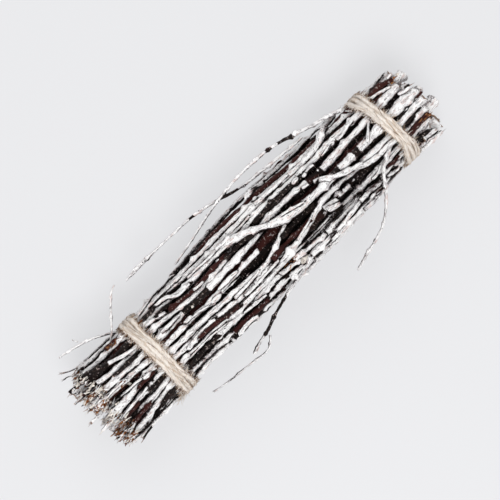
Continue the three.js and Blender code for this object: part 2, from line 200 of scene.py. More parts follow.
@dataclass
class Route:
    """The middle line of a twig and its radius along it, in millimetres."""

    points: Array
    radii: Array

    def distances(self) -> Array:
        """Distance along the line of each of its points."""
        steps = np.linalg.norm(np.diff(self.points, axis=0), axis=1)
        return np.concatenate([[0.0], np.cumsum(steps)])

    def length(self) -> float:
        """Whole length of the line."""
        return float(self.distances()[-1])

    def at(self, along: Array) -> tuple[Array, Array]:
        """Places and radii on a smooth line through the points.

        Between two points the line is a cubic whose ends have the mean slope of their neighbours.

        Args:
            along: distances from the start.

        Returns:
            Places, one row each, and radii.
        """
        at = self.distances()
        values = np.column_stack([self.points, self.radii])
        slopes = np.gradient(values, at, axis=0)
        i = np.clip(np.searchsorted(at, along, side="right") - 1, 0, len(at) - 2)
        span = (at[i + 1] - at[i])[:, None]
        share = (along - at[i])[:, None] / span
        square, cube = share**2, share**3
        smooth = (
            (2 * cube - 3 * square + 1) * values[i]
            + (cube - 2 * square + share) * span * slopes[i]
            + (3 * square - 2 * cube) * values[i + 1]
            + (cube - square) * span * slopes[i + 1]
        )
        return smooth[:, :3], smooth[:, 3]


def places_of(node: bpy.types.Object) -> Array:
    """Places of a solid's vertices in millimetres, one row each."""
    places = np.empty(len(node.data.vertices) * 3)
    node.data.vertices.foreach_get("co", places)
    return places.reshape(-1, 3) / METRES


def route_of(node: bpy.types.Object) -> Route:
    """Finds the middle line of a bent tube by walking its rings from one end cap to the other.

    Args:
        node: the frame's solid, a tube with one vertex in the middle of each end.

    Returns:
        The line from the low X end to the high X end, with the distance of the solid's corners as radius.
    """
    corners, index = np.unique(np.round(places_of(node), 3), axis=0, return_inverse=True)
    loops = np.empty(len(node.data.loops), dtype=np.int32)
    node.data.loops.foreach_get("vertex_index", loops)
    faces = index.ravel()[loops].reshape(-1, 3)
    linked = np.zeros((len(corners), len(corners)), dtype=bool)
    for a, b in ((0, 1), (1, 2), (2, 0)):
        linked[faces[:, a], faces[:, b]] = True
        linked[faces[:, b], faces[:, a]] = True
    links = linked.sum(axis=1)
    # The middle of a cap is the only vertex whose neighbours all lie on the tube's end ring
    rim_links = 5
    caps = [v for v in range(len(corners)) if np.all(links[linked[v]] == rim_links)]
    seen = np.zeros(len(corners), dtype=bool)
    seen[min(caps, key=lambda v: corners[v, 0])] = True
    ring = seen.copy()
    middles, radii = [], []
    while True:
        ring = linked[ring].any(axis=0) & ~seen
        seen |= ring
        if ring.sum() < 3:
            break
        middle = corners[ring].mean(axis=0)
        middles.append(middle)
        radii.append(np.linalg.norm(corners[ring] - middle, axis=1).mean())
    return Route(np.array(middles), np.array(radii))


@dataclass
class Skin:
    """A closed tube of points, rows by columns, with a pole at each end and values for its material."""

    grid: Array
    poles: Array
    traits: dict[str, Array]

    def faces(self) -> tuple[Array, Array]:
        """Quads between the rows and triangles to the two poles, numbered from the grid's first point.

        Returns:
            Quads and triangles as arrays of vertex numbers.
        """
        rows, columns = self.grid.shape[:2]
        here = np.arange(rows * columns).reshape(rows, columns)
        beside = np.roll(here, -1, axis=1)
        quads = np.stack([here[:-1], beside[:-1], beside[1:], here[1:]], axis=-1).reshape(-1, 4)
        first = np.full(columns, rows * columns)
        low = np.stack([first, beside[0], here[0]], axis=-1)
        high = np.stack([first + 1, here[-1], beside[-1]], axis=-1)
        return quads, np.concatenate([low, high])

    def vertices(self) -> Array:
        """The grid's points row by row, then the two poles."""
        return np.concatenate([self.grid.reshape(-1, 3), self.poles])

    def values(self, trait: str) -> Array:
        """One trait for each vertex, where a pole takes the mean of its row."""
        value = self.traits[trait]
        ends = np.stack([value[0].mean(axis=0), value[-1].mean(axis=0)])
        return np.concatenate([value.reshape(-1, *value.shape[2:]), ends])


def build_piece(name: str, skins: list[Skin], material: bpy.types.Material,
                replaces: tuple[str, ...] = ()) -> bpy.types.Object:
    """Writes skins into one mesh, a piece that rides on the bundle and is pressed flat on the floor.

    Args:
        name: the piece's name.
        skins: closed surfaces in millimetres.
        material: its finish.
        replaces: the frame's nodes that it stands for.

    Returns:
        The piece.
    """
    offsets = np.cumsum([0] + [len(skin.vertices()) for skin in skins])
    places = np.concatenate([skin.vertices() for skin in skins]) * METRES
    places[:, 2] = np.maximum(places[:, 2], 0.0)
    quads = np.concatenate([skin.faces()[0] + at for skin, at in zip(skins, offsets)])
    triangles = np.concatenate([skin.faces()[1] + at for skin, at in zip(skins, offsets)])
    mesh = bpy.data.meshes.new(name)
    mesh.vertices.add(len(places))
    mesh.vertices.foreach_set("co", places.ravel())
    corners = np.concatenate([quads.ravel(), triangles.ravel()])
    mesh.loops.add(len(corners))
    mesh.loops.foreach_set("vertex_index", corners.astype(np.int32))
    starts = np.concatenate([np.arange(len(quads)) * 4, len(quads) * 4 + np.arange(len(triangles)) * 3])
    mesh.polygons.add(len(starts))
    mesh.polygons.foreach_set("loop_start", starts.astype(np.int32))
    mesh.polygons.foreach_set("use_smooth", np.ones(len(starts), dtype=bool))
    mesh.update(calc_edges=True)
    for trait in skins[0].traits:
        value = np.concatenate([skin.values(trait) for skin in skins])
        kind, key = ("FLOAT_VECTOR", "vector") if value.ndim == 2 else ("FLOAT", "value")
        mesh.attributes.new(trait, kind, "POINT").data.foreach_set(key, value.ravel().astype(np.float32))
    piece = bpy.data.objects.new(name, mesh)
    bpy.context.scene.collection.objects.link(piece)
    mesh.materials.append(material)
    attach(piece, BODY)
    if replaces:
        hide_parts(*replaces)
    log.info("%s: %d faces", name, len(starts))
    return piece


@dataclass
class TwigShape:
    """How a birch twig's bark and ends are formed."""

    step: float = 0.95  # distance between the rows along the twig
    fewest_rows: int = 8
    sides: int = 14
    unevenness: float = 0.10  # share of the radius by which the bark rises and falls in lumps
    lumps: tuple[float, int] = (9.0, 3)  # length of a lump, and the most humps round the twig
    ridges: tuple[float, int] = (3.2, 5)  # the same for finer ones, which are half as high
    waviness: float = 0.11  # share of the radius by which the twig slowly thickens and thins
    wave: float = 30.0  # over what length
    knot_gap: float = 22.0
    first_knot: float = 4.0  # least distance of the first knot from the end
    last_knot: float = 3.0  # the same for the last one from the other end
    knot_row: float = 5.0  # least length on which knots grow
    gap_spread: Span = (0.7, 1.25)  # least and most gap of a twig, as shares of knot_gap
    knot_shift: float = 5.0  # most shift of a knot from its even place
    knot_margin: float = 0.4  # least distance of a shifted knot from an end
    knot_rise: float = 0.38
    knot_width: float = 1.6
    bud_share: float = 0.6  # share of the knots that carry a bud
    bud_rise: float = 0.805
    bud_length: float = 3.4
    bud_angle: float = 0.62  # how far round the twig a bud reaches
    knot_heights: Span = (0.4, 1.2)  # least and most of a knot, as shares of knot_rise
    bud_heights: Span = (0.6, 1.2)  # the same for the buds
    bud_lengths: Span = (0.7, 1.3)
    bud_turn: float = 0.6  # how far a bud may face away from the place opposite the last one
    thickest_bud: float = 1.8  # radius past which a twig's buds grow no further
    zigzag: float = 0.30
    thickest_bend: float = 1.5  # radius past which a twig bends no further
    slant: float = 0.55  # most slope of a cut end
    splinter: float = 0.35
    end_length: float = 5.0  # how far in from a cut end its slope and splinters are felt
    cap_roughness: float = 0.35
    pith_depth: float = 0.3  # most depth of the middle of a cut face
    cut_from: float = 116.0  # distance from the middle of the bundle past which a cut end shows raw wood
    cap_shares: tuple[float, ...] = (0.35, 0.7, 0.96)
    spray_spread: float = 0.06  # most difference of a twig's whitewash from that of its coat
    red_spread: float = 0.1  # the same for its redness
    bare_stretch_edge: float = 0.8  # half the length over which the whitewash fades out at a bare stretch
    bare_stretch_spray: float = 0.1  # what is left of it there

    def skin(self, route: Route, seed: int, coat: Coat, bare: tuple[Span, ...] = ()) -> Skin:
        """Carries a bark profile along a route.

        A point lies at the middle line plus radius times the direction of its column. The radius is the
        route's, times one plus relief, plus a ring of swelling at each knot, plus a one-sided almond at each
        bud. The ends are planes that lean by slant times radius, roughened by splinters.

        Args:
            route: the twig's middle line.
            seed: makes the twig's own unevenness.
            coat: what covers it.
            bare: stretches along X that show dark bark, some where the whitewash missed and some as
            painted shade where a gap between twigs lies in shadow.

        Returns:
            The closed bark surface.
        """
        rng = np.random.default_rng(seed)
        length = route.length()
        along = np.linspace(0.0, length, max(int(length / self.step), self.fewest_rows))
        around = even_angles(self.sides)
        middle, radius = route.at(along)
        tangent = unit(np.gradient(middle, axis=0))
        up = unit(UPWARDS - tangent * tangent[:, 2:])
        side = np.cross(up, tangent)
        knots = self._knot_places(rng, length)
        bend = self._bend(rng, along, knots) * np.minimum(radius, self.thickest_bend)[:, None]
        middle = middle + side * bend[:, :1] + up * bend[:, 1:]
        swell = 1 + self.unevenness * relief(rng, along, around, *self.lumps)
        swell += 0.5 * self.unevenness * relief(rng, along, around, *self.ridges)
        swell = swell * (1 + self.waviness * ripple(rng, along, self.wave))[:, None]
        spread = swell * radius[:, None] + self._knots(rng, along, around, knots, radius)
        body = middle[:, None] + rings(side, up, around) * spread[..., None]
        lean = rng.uniform(0.1, self.slant, 2) * radius[[0, -1]]
        turned = rng.uniform(0, TURN, 2)
        torn = np.abs(relief(rng, np.zeros(2), around, 1.0, 6)) * self.splinter * radius[[0, -1]][:, None]
        front = self._end_shift(along, around, lean[0], turned[0], torn[0])
        back = self._end_shift(length - along, around, lean[1], turned[1], torn[1])
        body = body + (front - back)[..., None] * tangent[:, None]
        front, front_pole = self._cap(rng, middle[0], body[0], lean[0], tangent[0])
        rear, rear_pole = self._cap(rng, middle[-1], body[-1], lean[1], -tangent[-1])
        grid = np.concatenate([front, body, rear[::-1]])
        traits = self._traits(rng, grid, coat, bare)
        traits["bark"] = self._bark_places(along, around, radius, seed)
        return Skin(grid, np.stack([front_pole, rear_pole]), traits)

    def _knot_places(self, rng: Random, length: float) -> Array:
        """Distances of the knots along a twig of a given length."""
        first = rng.uniform(self.first_knot, self.knot_gap)
        gap = self.knot_gap * rng.uniform(*self.gap_spread)
        knots = np.arange(first, max(length - self.last_knot, self.knot_row), gap)
        knots = knots + rng.uniform(-self.knot_shift, self.knot_shift, len(knots))
        return np.sort(np.clip(knots, self.knot_margin, length - self.knot_margin))

    def _traits(self, rng: Random, grid: Array, coat: Coat, bare: tuple[Span, ...]) -> dict[str, Array]:
        """What the finish reads at each point: whether it is cut, and its spray, redness and torn bark."""
        caps = len(self.cap_shares)
        cut = np.zeros(grid.shape[:2])
        cut[:caps] = 1
        cut[-caps:] = 1
        cut *= np.abs(grid[..., 0]) > self.cut_from
        bare_stretch = np.zeros(grid.shape[:2])
        edge = self.bare_stretch_edge
        for low, high in bare:
            bare_stretch += smoothstep(low - edge, low + edge, grid[..., 0])
            bare_stretch -= smoothstep(high - edge, high + edge, grid[..., 0])
        spray, red, peel = coat.value
        spray += rng.uniform(-self.spray_spread, self.spray_spread)
        red += rng.uniform(-self.red_spread, self.red_spread)
        return {
            "cut": cut,
            "spray": spray * (1 - bare_stretch) + self.bare_stretch_spray * bare_stretch,
            "red": np.full(grid.shape[:2], np.clip(red, 0, 1)),
            "peel": np.full(grid.shape[:2], peel),
        }

    def _bark_places(self, along: Array, around: Array, radius: Array, seed: int) -> Array:
        """Places for the finish's patterns, on the twig as if it were straight and far from all others."""
        caps = len(self.cap_shares)
        reach = np.concatenate([np.repeat(0.0, caps), along, np.repeat(along[-1], caps)])
        share = np.concatenate([self.cap_shares, np.ones(len(along)), self.cap_shares[::-1]])
        wide = np.concatenate([np.repeat(radius[0], caps), radius, np.repeat(radius[-1], caps)]) * share
        return joined(reach[:, None] + PATTERN_GAP * seed, wide[:, None] * np.cos(around),
                      wide[:, None] * np.sin(around))

    def _bend(self, rng: Random, along: Array, knots: Array) -> Array:
        """Sideways offsets that turn the line a little to and fro at every knot, none at the ends."""
        corners = np.concatenate([[0.0], knots, [along[-1]]])
        offsets = rng.uniform(-1, 1, (2, len(corners))) * self.zigzag
        offsets[:, [0, -1]] = 0
        return np.stack([np.interp(along, corners, line) for line in offsets], axis=1)

    def _knots(self, rng: Random, along: Array, around: Array, knots: Array, radius: Array) -> Array:
        """Added radius at the knots: a bell-shaped ring each, and an almond on one side where a bud grows."""
        rise = np.zeros((len(along), len(around)))
        facing = rng.uniform(0, TURN)
        for knot in knots:
            facing += math.pi + rng.uniform(-self.bud_turn, self.bud_turn)
            bell = np.exp(-(((along - knot) / self.knot_width) ** 2))
            lopsided = 1 + 0.5 * np.cos(around - facing)
            rise += self.knot_rise * rng.uniform(*self.knot_heights) * (bell * radius)[:, None] * lopsided
            if rng.uniform() < self.bud_share:
                past = (along - knot) / (self.bud_length * rng.uniform(*self.bud_lengths))
                almond = smoothstep(-0.4, 0.25, past) * (1 - smoothstep(0.3, 1.2, past))
                turned = np.angle(np.exp(1j * (around - facing)))
                lobe = np.exp(-((turned / self.bud_angle) ** 2))
                thick = np.minimum(radius, self.thickest_bud)
                height = self.bud_rise * rng.uniform(*self.bud_heights) * thick
                rise += (almond * height)[:, None] * lobe
        return rise

    def _end_shift(self, from_end: Array, around: Array, lean: float, turned: float, torn: Array) -> Array:
        """How far each point moves inwards along the twig so that the end is a rough leaning plane."""
        fade = np.clip(1 - from_end / self.end_length, 0, 1) ** 2
        plane = lean * (1 - np.cos(around - turned)) + torn
        return fade[:, None] * plane

    def _cap(self, rng: Random, middle: Array, rim: Array, lean: float, inward: Array) -> tuple[Array, Array]:
        """Rows of a cut face, from next to its pole out to the rim, roughened like torn wood."""
        centre = middle + inward * lean
        shares = np.array(self.cap_shares)[:, None, None]
        rows = centre + (rim[None] - centre) * shares
        torn = rng.uniform(0, self.cap_roughness, rows.shape[:2]) * (1 - shares[..., 0])
        return rows + torn[..., None] * inward, centre + inward * rng.uniform(0, self.pith_depth)


@dataclass
class Crowd:
    """Where every twig passes, at even stations along the bundle: what lies open, and what carries a twig."""

    start: float = -156.0
    end: float = 156.0
    gap: float = 1.5
    axis: Span = (2.5, 27.0)  # Y and Z of the bundle's middle
    # painted shade as well as real missed spray: the spray's fading with depth leaves the deeper twigs dark
    reach: float = 8.0  # depth below the outermost twigs at which the spray has faded to about a third
    from_above: float = 0.95  # strength of the spray from above, as a share of that from outside
    fan: tuple[float, ...] = (-66.0, -44.0, -22.0, 0.0, 22.0, 44.0, 66.0)  # of the rays, in degrees
    stopping: float = 0.92  # share of a twig's radius within which it stops a ray
    shaded_rows: int = 3  # one in so many rows of a skin is worked out
    middles: list[Array] = field(default_factory=list)
    radii: list[Array] = field(default_factory=list)

    def stations(self) -> Array:
        """Places of the stations along X."""
        return np.arange(self.start, self.end + self.gap, self.gap)

    def add(self, route: Route) -> int:
        """Adds a twig.

        Args:
            route: its middle line.

        Returns:
            Its number in the crowd.
        """
        stations = self.stations()
        order = np.argsort(route.points[:, 0])
        x = route.points[order, 0]
        y, z, radius = (np.interp(stations, x, value[order])
                        for value in (route.points[:, 1], route.points[:, 2], route.radii))
        absent = (stations < x[0]) | (stations > x[-1])
        self.middles.append(np.stack([y, z], axis=-1))
        self.radii.append(np.where(absent, 0.0, radius))
        return len(self.radii) - 1

    def at(self, x: Array) -> tuple[Array, Array]:
        """Middles and radii of all twigs in the sections at x."""
        station = np.clip(np.round((x - self.start) / self.gap).astype(int), 0, len(self.stations()) - 1)
        return np.stack(self.middles, axis=1)[station], np.stack(self.radii, axis=1)[station]

    def crown(self, x: Array, y: Array, radius: Array) -> Array:
        """Height at which a twig's middle comes to lie when it is laid on the crowd.

        In each section the twig's circle touches the highest of the others from above: the other's middle
        plus the height of a right triangle whose long side joins both middles.

        Args:
            x: places along the bundle.
            y: places across it.
            radius: the laid twig's radius.

        Returns:
            Heights, with nan where nothing lies below.
        """
        middles, radii = self.at(x)
        across = y[:, None] - middles[..., 0]
        square = (radii + radius[:, None]) ** 2 - across**2
        touch = np.where((square > 0) & (radii > 0), middles[..., 1] + np.sqrt(np.maximum(square, 0)), -1.0)
        height = touch.max(axis=1)
        return np.where(height > 0, height, np.nan)

    def reached(self, points: Array, normals: Array, own: int, heading: Array) -> Array:
        """How much spray that comes down against a heading reaches each point.

        Rays leave a point in the plane of its section, in a fan round the heading. Each ray that meets no
        other twig counts by how squarely the surface faces it. The deeper a point lies below the last twig
        that the middle ray meets, the less it gets. Used as the whitewash's mask this is partly real, as the
        spray misses hidden bark, and partly painted shade, as it leaves dark bark in the gaps between twigs,
        deep in the bundle and on flanks that face away.

        Args:
            points: places, one row each.
            normals: outward directions of the surface there.
            own: the number of the twig that the points are on.
            heading: Y and Z of the way out of the bundle, one row each.

        Returns:
            0 where nothing arrives, and about 1 on an open crest.
        """
        middles, radii = self.at(points[:, 0])
        towards = middles - points[:, None, 1:]
        others = (np.arange(radii.shape[1]) != own) & (radii > 0)
        total = np.zeros(len(points))
        depth = np.zeros(len(points))
        weights = 0.0
        for angle in np.radians(self.fan):
            turned = np.stack([heading[:, 0] * math.cos(angle) - heading[:, 1] * math.sin(angle),
                               heading[:, 0] * math.sin(angle) + heading[:, 1] * math.cos(angle)], axis=-1)
            ahead = np.einsum("vtk,vk->vt", towards, turned)
            off = (towards**2).sum(axis=-1) - ahead**2
            met = (ahead > 0) & (off < (self.stopping * radii) ** 2) & others
            if angle == 0:
                depth = np.where(met, ahead + np.sqrt(np.maximum(radii**2 - off, 0)), 0).max(axis=1)
            weight = math.cos(angle)
            facing = np.maximum((normals[:, 1:] * turned).sum(axis=-1), 0)
            total += weight * facing * ~met.any(axis=1)
            weights += weight * weight
        return total / weights * np.exp(-depth / self.reach)

    def openness(self, points: Array, normals: Array, own: int) -> Array:
        """The spray that reaches each point from all round the bundle or from above, whichever is more."""
        outward = unit(points[:, 1:] - np.array(self.axis))
        upward = np.broadcast_to((0.0, 1.0), outward.shape)
        return np.maximum(self.reached(points, normals, own, outward),
                          self.from_above * self.reached(points, normals, own, upward))

    def shade(self, skin: Skin, own: int) -> None:
        """Gives a skin the trait open, worked out on some of its rows and blended between them.

        Args:
            skin: gets the trait.
            own: the skin's number in the crowd.
        """
        rows = skin.grid.shape[0]
        picked = np.unique(np.append(np.arange(0, rows, self.shaded_rows), rows - 1))
        sample = skin.grid[picked]
        normals = unit(sample - sample.mean(axis=1, keepdims=True))
        flat = self.openness(sample.reshape(-1, 3), normals.reshape(-1, 3), own).reshape(sample.shape[:2])
        low = np.clip(np.searchsorted(picked, np.arange(rows), side="right") - 1, 0, len(picked) - 2)
        share = ((np.arange(rows) - picked[low]) / (picked[low + 1] - picked[low]))[:, None]
        skin.traits["open"] = flat[low] * (1 - share) + flat[low + 1] * share


@dataclass(frozen=True)
class Clouds:
    """A cloudy pattern, and the values between which it passes from the ground to its spots."""

    scale: Triple
    detail: float
    roughness: float
    shift: float = 0.0  # keeps two patterns of one scale apart
    low: float = 0.0
    high: float = 1.0


class Sheet:
    """A material's nodes, added by short calls that return the socket to link on."""

    def __init__(self, name: str) -> None:
        """Starts an empty material with its output and main shader.

        Args:
            name: the material's name.
        """
        self.material = bpy.data.materials.new(name)
        self.material.use_nodes = True
        self.tree = self.material.node_tree
        self.tree.nodes.clear()
        output = self.tree.nodes.new("ShaderNodeOutputMaterial")
        self.shader = self.tree.nodes.new("ShaderNodeBsdfPrincipled")
        self.tree.links.new(self.shader.outputs[0], output.inputs["Surface"])

    def link(self, source: object, node: bpy.types.Node, key: str | int) -> None:
        """Links a socket, or sets the plain value, on one input of a node."""
        if isinstance(source, Socket):
            self.tree.links.new(source, node.inputs[key])
        else:
            node.inputs[key].default_value = source

    def attribute(self, name: str, output: str = "Fac") -> Socket:
        """Reads a trait of the mesh."""
        node = self.tree.nodes.new("ShaderNodeAttribute")
        node.attribute_name = name
        return node.outputs[output]

    def noise(self, place: Socket, clouds: Clouds) -> Socket:
        """Cloudy values of 0 to 1 on a place that is first scaled along its axes and shifted."""
        placed = self.tree.nodes.new("ShaderNodeMapping")
        self.link(place, placed, "Vector")
        placed.inputs["Scale"].default_value = clouds.scale
        placed.inputs["Location"].default_value = (clouds.shift, clouds.shift * 0.7, clouds.shift * 1.3)
        node = self.tree.nodes.new("ShaderNodeTexNoise")
        self.link(placed.outputs[0], node, "Vector")
        node.inputs["Scale"].default_value = 1.0
        node.inputs["Detail"].default_value = clouds.detail
        node.inputs["Roughness"].default_value = clouds.roughness
        return node.outputs["Fac"]

    def math(self, operation: str, a: object, b: object = 0.0, c: object = 0.0) -> Socket:
        """One sum of a Math node."""
        node = self.tree.nodes.new("ShaderNodeMath")
        node.operation = operation
        for key, value in enumerate((a, b, c)):
            self.link(value, node, key)
        return node.outputs[0]

    def step(self, value: object, low: float, high: float) -> Socket:
        """Eases a value from 0 at low to 1 at high."""
        node = self.tree.nodes.new("ShaderNodeMapRange")
        node.interpolation_type = "SMOOTHSTEP"
        self.link(value, node, "Value")
        node.inputs["From Min"].default_value = low
        node.inputs["From Max"].default_value = high
        return node.outputs["Result"]

    def spots(self, place: Socket, clouds: Clouds) -> Socket:
        """The spots of a pattern, 1 inside them and 0 on the ground."""
        return self.step(self.noise(place, clouds), clouds.low, clouds.high)

    def mix(self, share: object, a: object, b: object) -> Socket:
        """Mixes two colours."""
        node = self.tree.nodes.new("ShaderNodeMix")
        node.data_type = "RGBA"
        self.link(share, node, "Factor")
        for key, value in ((6, a), (7, b)):
            self.link((*value, 1.0) if isinstance(value, tuple) else value, node, key)
        return node.outputs[2]

    def dab(self, ground: object, colour: object, place: Socket, clouds: Clouds,
            strength: float = 1.0) -> Socket:
        """Lays a colour on the ground in a pattern's spots, where it hides the ground by its strength."""
        share = self.spots(place, clouds)
        if strength < 1.0:
            share = self.math("MULTIPLY", share, strength)
        return self.mix(share, ground, colour)

    def bump(self, height: Socket, strength: float, distance: float) -> None:
        """Bumps the main shader's surface by a height times distance in metres."""
        node = self.tree.nodes.new("ShaderNodeBump")
        node.inputs["Strength"].default_value = strength
        node.inputs["Distance"].default_value = distance
        self.link(height, node, "Height")
        self.tree.links.new(node.outputs[0], self.shader.inputs["Normal"])


@dataclass(frozen=True)
class Bark:
    """Birch bark with whitewash sprayed on from outside, and raw wood where it is cut or peeled."""

    name: str = "whitewashed_bark"
    paint: Triple = (0.955, 0.945, 0.935)
    # grey of thin whitewash, which also paints shade where the coat thins out towards the flanks
    thin_paint_and_edge_shade: Triple = (0.335, 0.30, 0.31)
    rosy_paint: Triple = (0.58, 0.39, 0.35)
    bark: Triple = (0.006, 0.0038, 0.0034)
    grey_bark: Triple = (0.043, 0.024, 0.019)
    red_bark: Triple = (0.040, 0.0095, 0.0075)
    lenticel: Triple = (0.50, 0.42, 0.38)
    wood: Triple = (0.50, 0.24, 0.10)
    pale_wood: Triple = (0.90, 0.84, 0.76)
    burnt_wood: Triple = (0.11, 0.028, 0.011)
    # painted shade: below this openness, on flanks and in gaps, the whitewash fails and dark bark shows
    edge: float = 0.48  # how open a fully sprayed twig has to be before the whitewash takes
    spray_weight: float = 0.9
    patch_weight: float = 1.1
    fleck_weight: float = 1.0
    laid_from: Span = (-0.05, 0.04)  # amounts round the level between which it starts to cover
    thick_from: Span = (-0.02, 0.26)  # the same for a thick coat
    drop_open: Span = (0.02, 0.14)  # how open a place is on which drops land
    patches: Clouds = Clouds((0.09, 0.38, 0.38), 4.0, 0.6)
    flecks: Clouds = Clouds((0.8, 1.6, 1.6), 4.0, 0.65, 11.0, 0.56, 0.66)
    drops: Clouds = Clouds((0.45, 0.8, 0.8), 2.0, 0.5, 61.0, 0.67, 0.70)
    streaks: Clouds = Clouds((0.25, 2.6, 2.6), 3.0, 0.6, 17.0, 0.50, 0.70)
    reddish: Clouds = Clouds((0.05, 0.2, 0.2), 3.0, 0.5, 3.0, 0.66, 0.90)
    dashes: Clouds = Clouds((1.1, 0.6, 0.6), 1.0, 0.3, 23.0, 0.67, 0.72)
    mottle: Clouds = Clouds((0.24, 0.75, 0.75), 4.0, 0.7, 31.0, 0.51, 0.62)
    blush: Clouds = Clouds((0.2, 0.7, 0.7), 2.0, 0.5, 37.0, 0.56, 0.66)
    cracks: Clouds = Clouds((0.5, 1.3, 1.3), 3.0, 0.6, 53.0, 0.62, 0.66)
    torn: Clouds = Clouds((0.2, 1.6, 1.6), 3.0, 0.7, 41.0, 0.47, 0.62)
    peeled: Clouds = Clouds((0.2, 1.6, 1.6), 3.0, 0.7, 41.0, 0.34, 0.42)
    grain: Clouds = Clouds((0.9, 1.9, 1.9), 3.0, 0.6, 5.0)
    dash_strength: float = 0.6
    mottle_strength: float = 0.66
    blush_strength: float = 0.5
    crack_strength: float = 0.9
    stain_strength: float = 0.35
    cut_paleness: float = 0.77  # how far a cut face is as pale as peeled wood
    bump_strength: float = 0.9
    bump_height: float = 0.0012

    def material(self) -> bpy.types.Material:
        """Builds the finish from the traits open, spray, bark, red, peel and cut of the mesh."""
        sheet = Sheet(self.name)
        place = sheet.attribute("bark", "Vector")
        flecks = sheet.noise(place, self.flecks)
        laid, thick = self._cover(sheet, place, flecks)
        colour = sheet.mix(laid, self._bare(sheet, place), self._white(sheet, place, thick))
        raw = sheet.math("ADD", sheet.attribute("cut"), sheet.attribute("peel"))
        colour = sheet.mix(sheet.step(raw, 0.2, 0.4), colour, self._raw(sheet, place, flecks))
        sheet.link(colour, sheet.shader, "Base Color")
        sheet.link(sheet.math("MULTIPLY_ADD", laid, 0.28, 0.5), sheet.shader, "Roughness")
        sheet.shader.inputs["Specular IOR Level"].default_value = 0.15
        height = sheet.math("MULTIPLY_ADD", flecks, 1.2, sheet.noise(place, self.grain))
        height = sheet.math("MULTIPLY_ADD", laid, 0.4, height)
        sheet.bump(height, self.bump_strength, self.bump_height)
        return sheet.material

    def _cover(self, sheet: Sheet, place: Socket, flecks: Socket) -> tuple[Socket, Socket]:
        """Where the whitewash lies and where it lies thick: on open places, and as drops on the bark."""
        # painted shade: the amount falls with openness, so flanks and gaps get thin grey paint, then dark
        # bark
        spray, opened = sheet.attribute("spray"), sheet.attribute("open")
        amount = sheet.math("MULTIPLY_ADD", spray, self.spray_weight, opened)
        amount = sheet.math("MULTIPLY_ADD", sheet.noise(place, self.patches), self.patch_weight, amount)
        amount = sheet.math("MULTIPLY_ADD", flecks, self.fleck_weight, amount)
        level = self.edge + self.spray_weight + 0.5 * (self.patch_weight + self.fleck_weight)
        drops = sheet.math("MULTIPLY", sheet.spots(place, self.drops), sheet.step(opened, *self.drop_open))
        laid = sheet.step(amount, level + self.laid_from[0], level + self.laid_from[1])
        thick = sheet.step(amount, level + self.thick_from[0], level + self.thick_from[1])
        return sheet.math("MAXIMUM", laid, drops), thick

    def _bare(self, sheet: Sheet, place: Socket) -> Socket:
        """Dark bark with greyish streaks, red-brown in places, and pale dashes."""
        bare = sheet.dab(self.bark, self.grey_bark, place, self.streaks)
        redness = sheet.math("MULTIPLY_ADD", sheet.attribute("red"), 0.4, sheet.noise(place, self.reddish))
        bare = sheet.mix(sheet.step(redness, self.reddish.low, self.reddish.high), bare, self.red_bark)
        return sheet.dab(bare, self.lenticel, place, self.dashes, self.dash_strength)

    def _white(self, sheet: Sheet, place: Socket, thick: Socket) -> Socket:
        """Whitewash that turns grey or rosy where it is thin, with fine cracks down to the bark.

        Its grey where the coat thins out towards the flanks is painted shade as well as thin paint.
        """
        white = sheet.mix(thick, self.thin_paint_and_edge_shade, self.paint)
        white = sheet.dab(white, self.thin_paint_and_edge_shade, place, self.mottle, self.mottle_strength)
        white = sheet.dab(white, self.rosy_paint, place, self.blush, self.blush_strength)
        return sheet.dab(white, self.bark, place, self.cracks, self.crack_strength)

    def _raw(self, sheet: Sheet, place: Socket, flecks: Socket) -> Socket:
        """Bare wood: orange-brown streaks where it is torn, pale where peeled, and in between where cut."""
        torn = sheet.dab(self.burnt_wood, self.wood, place, self.torn)
        pale = sheet.dab(self.burnt_wood, self.pale_wood, place, self.peeled)
        stains = sheet.step(flecks, self.flecks.low, self.flecks.high)
        pale = sheet.mix(sheet.math("MULTIPLY", stains, self.stain_strength), pale, self.wood)
        clean = sheet.math("MULTIPLY_ADD", sheet.attribute("cut"), self.cut_paleness, sheet.attribute("peel"))
        return sheet.mix(sheet.step(clean, 0.7, 0.9), torn, pale)


@dataclass(frozen=True)
class Jute:
    """Undyed jute: pale fibres lying along the twine, with tan and brown ones between."""

    name: str = "jute"
    pale: Triple = (0.745, 0.705, 0.66)
    tan: Triple = (0.56, 0.44, 0.33)
    brown: Triple = (0.13, 0.06, 0.03)
    hairs: Clouds = Clouds((0.35, 5.0, 5.0), 3.0, 0.6, 0.0, 0.62, 0.36)  # its spots are where it is low
    blotches: Clouds = Clouds((0.12, 0.6, 0.6), 3.0, 0.5, 7.0, 0.54, 0.74)
    hair_weight: float = 0.34
    blotch_weight: float = 0.25
    bump_strength: float = 0.8
    bump_height: float = 0.0003

    def material(self) -> bpy.types.Material:
        """Builds the finish from the mesh's traits strand, and tone, which goes from pale to brown."""
        sheet = Sheet(self.name)
        place = sheet.attribute("strand", "Vector")
        hairs, tone = sheet.noise(place, self.hairs), sheet.attribute("tone")
        between = sheet.step(hairs, self.hairs.low, self.hairs.high)
        shade = sheet.math("MULTIPLY_ADD", between, self.hair_weight, tone)
        shade = sheet.math("MULTIPLY_ADD", sheet.spots(place, self.blotches), self.blotch_weight, shade)
        colour = sheet.mix(sheet.step(shade, 0.05, 0.6), self.pale, self.tan)
        colour = sheet.mix(sheet.step(shade, 0.6, 1.0), colour, self.brown)
        sheet.link(colour, sheet.shader, "Base Color")
        sheet.shader.inputs["Roughness"].default_value = 0.9
        sheet.shader.inputs["Specular IOR Level"].default_value = 0.2
        sheet.bump(hairs, self.bump_strength, self.bump_height)
        return sheet.material


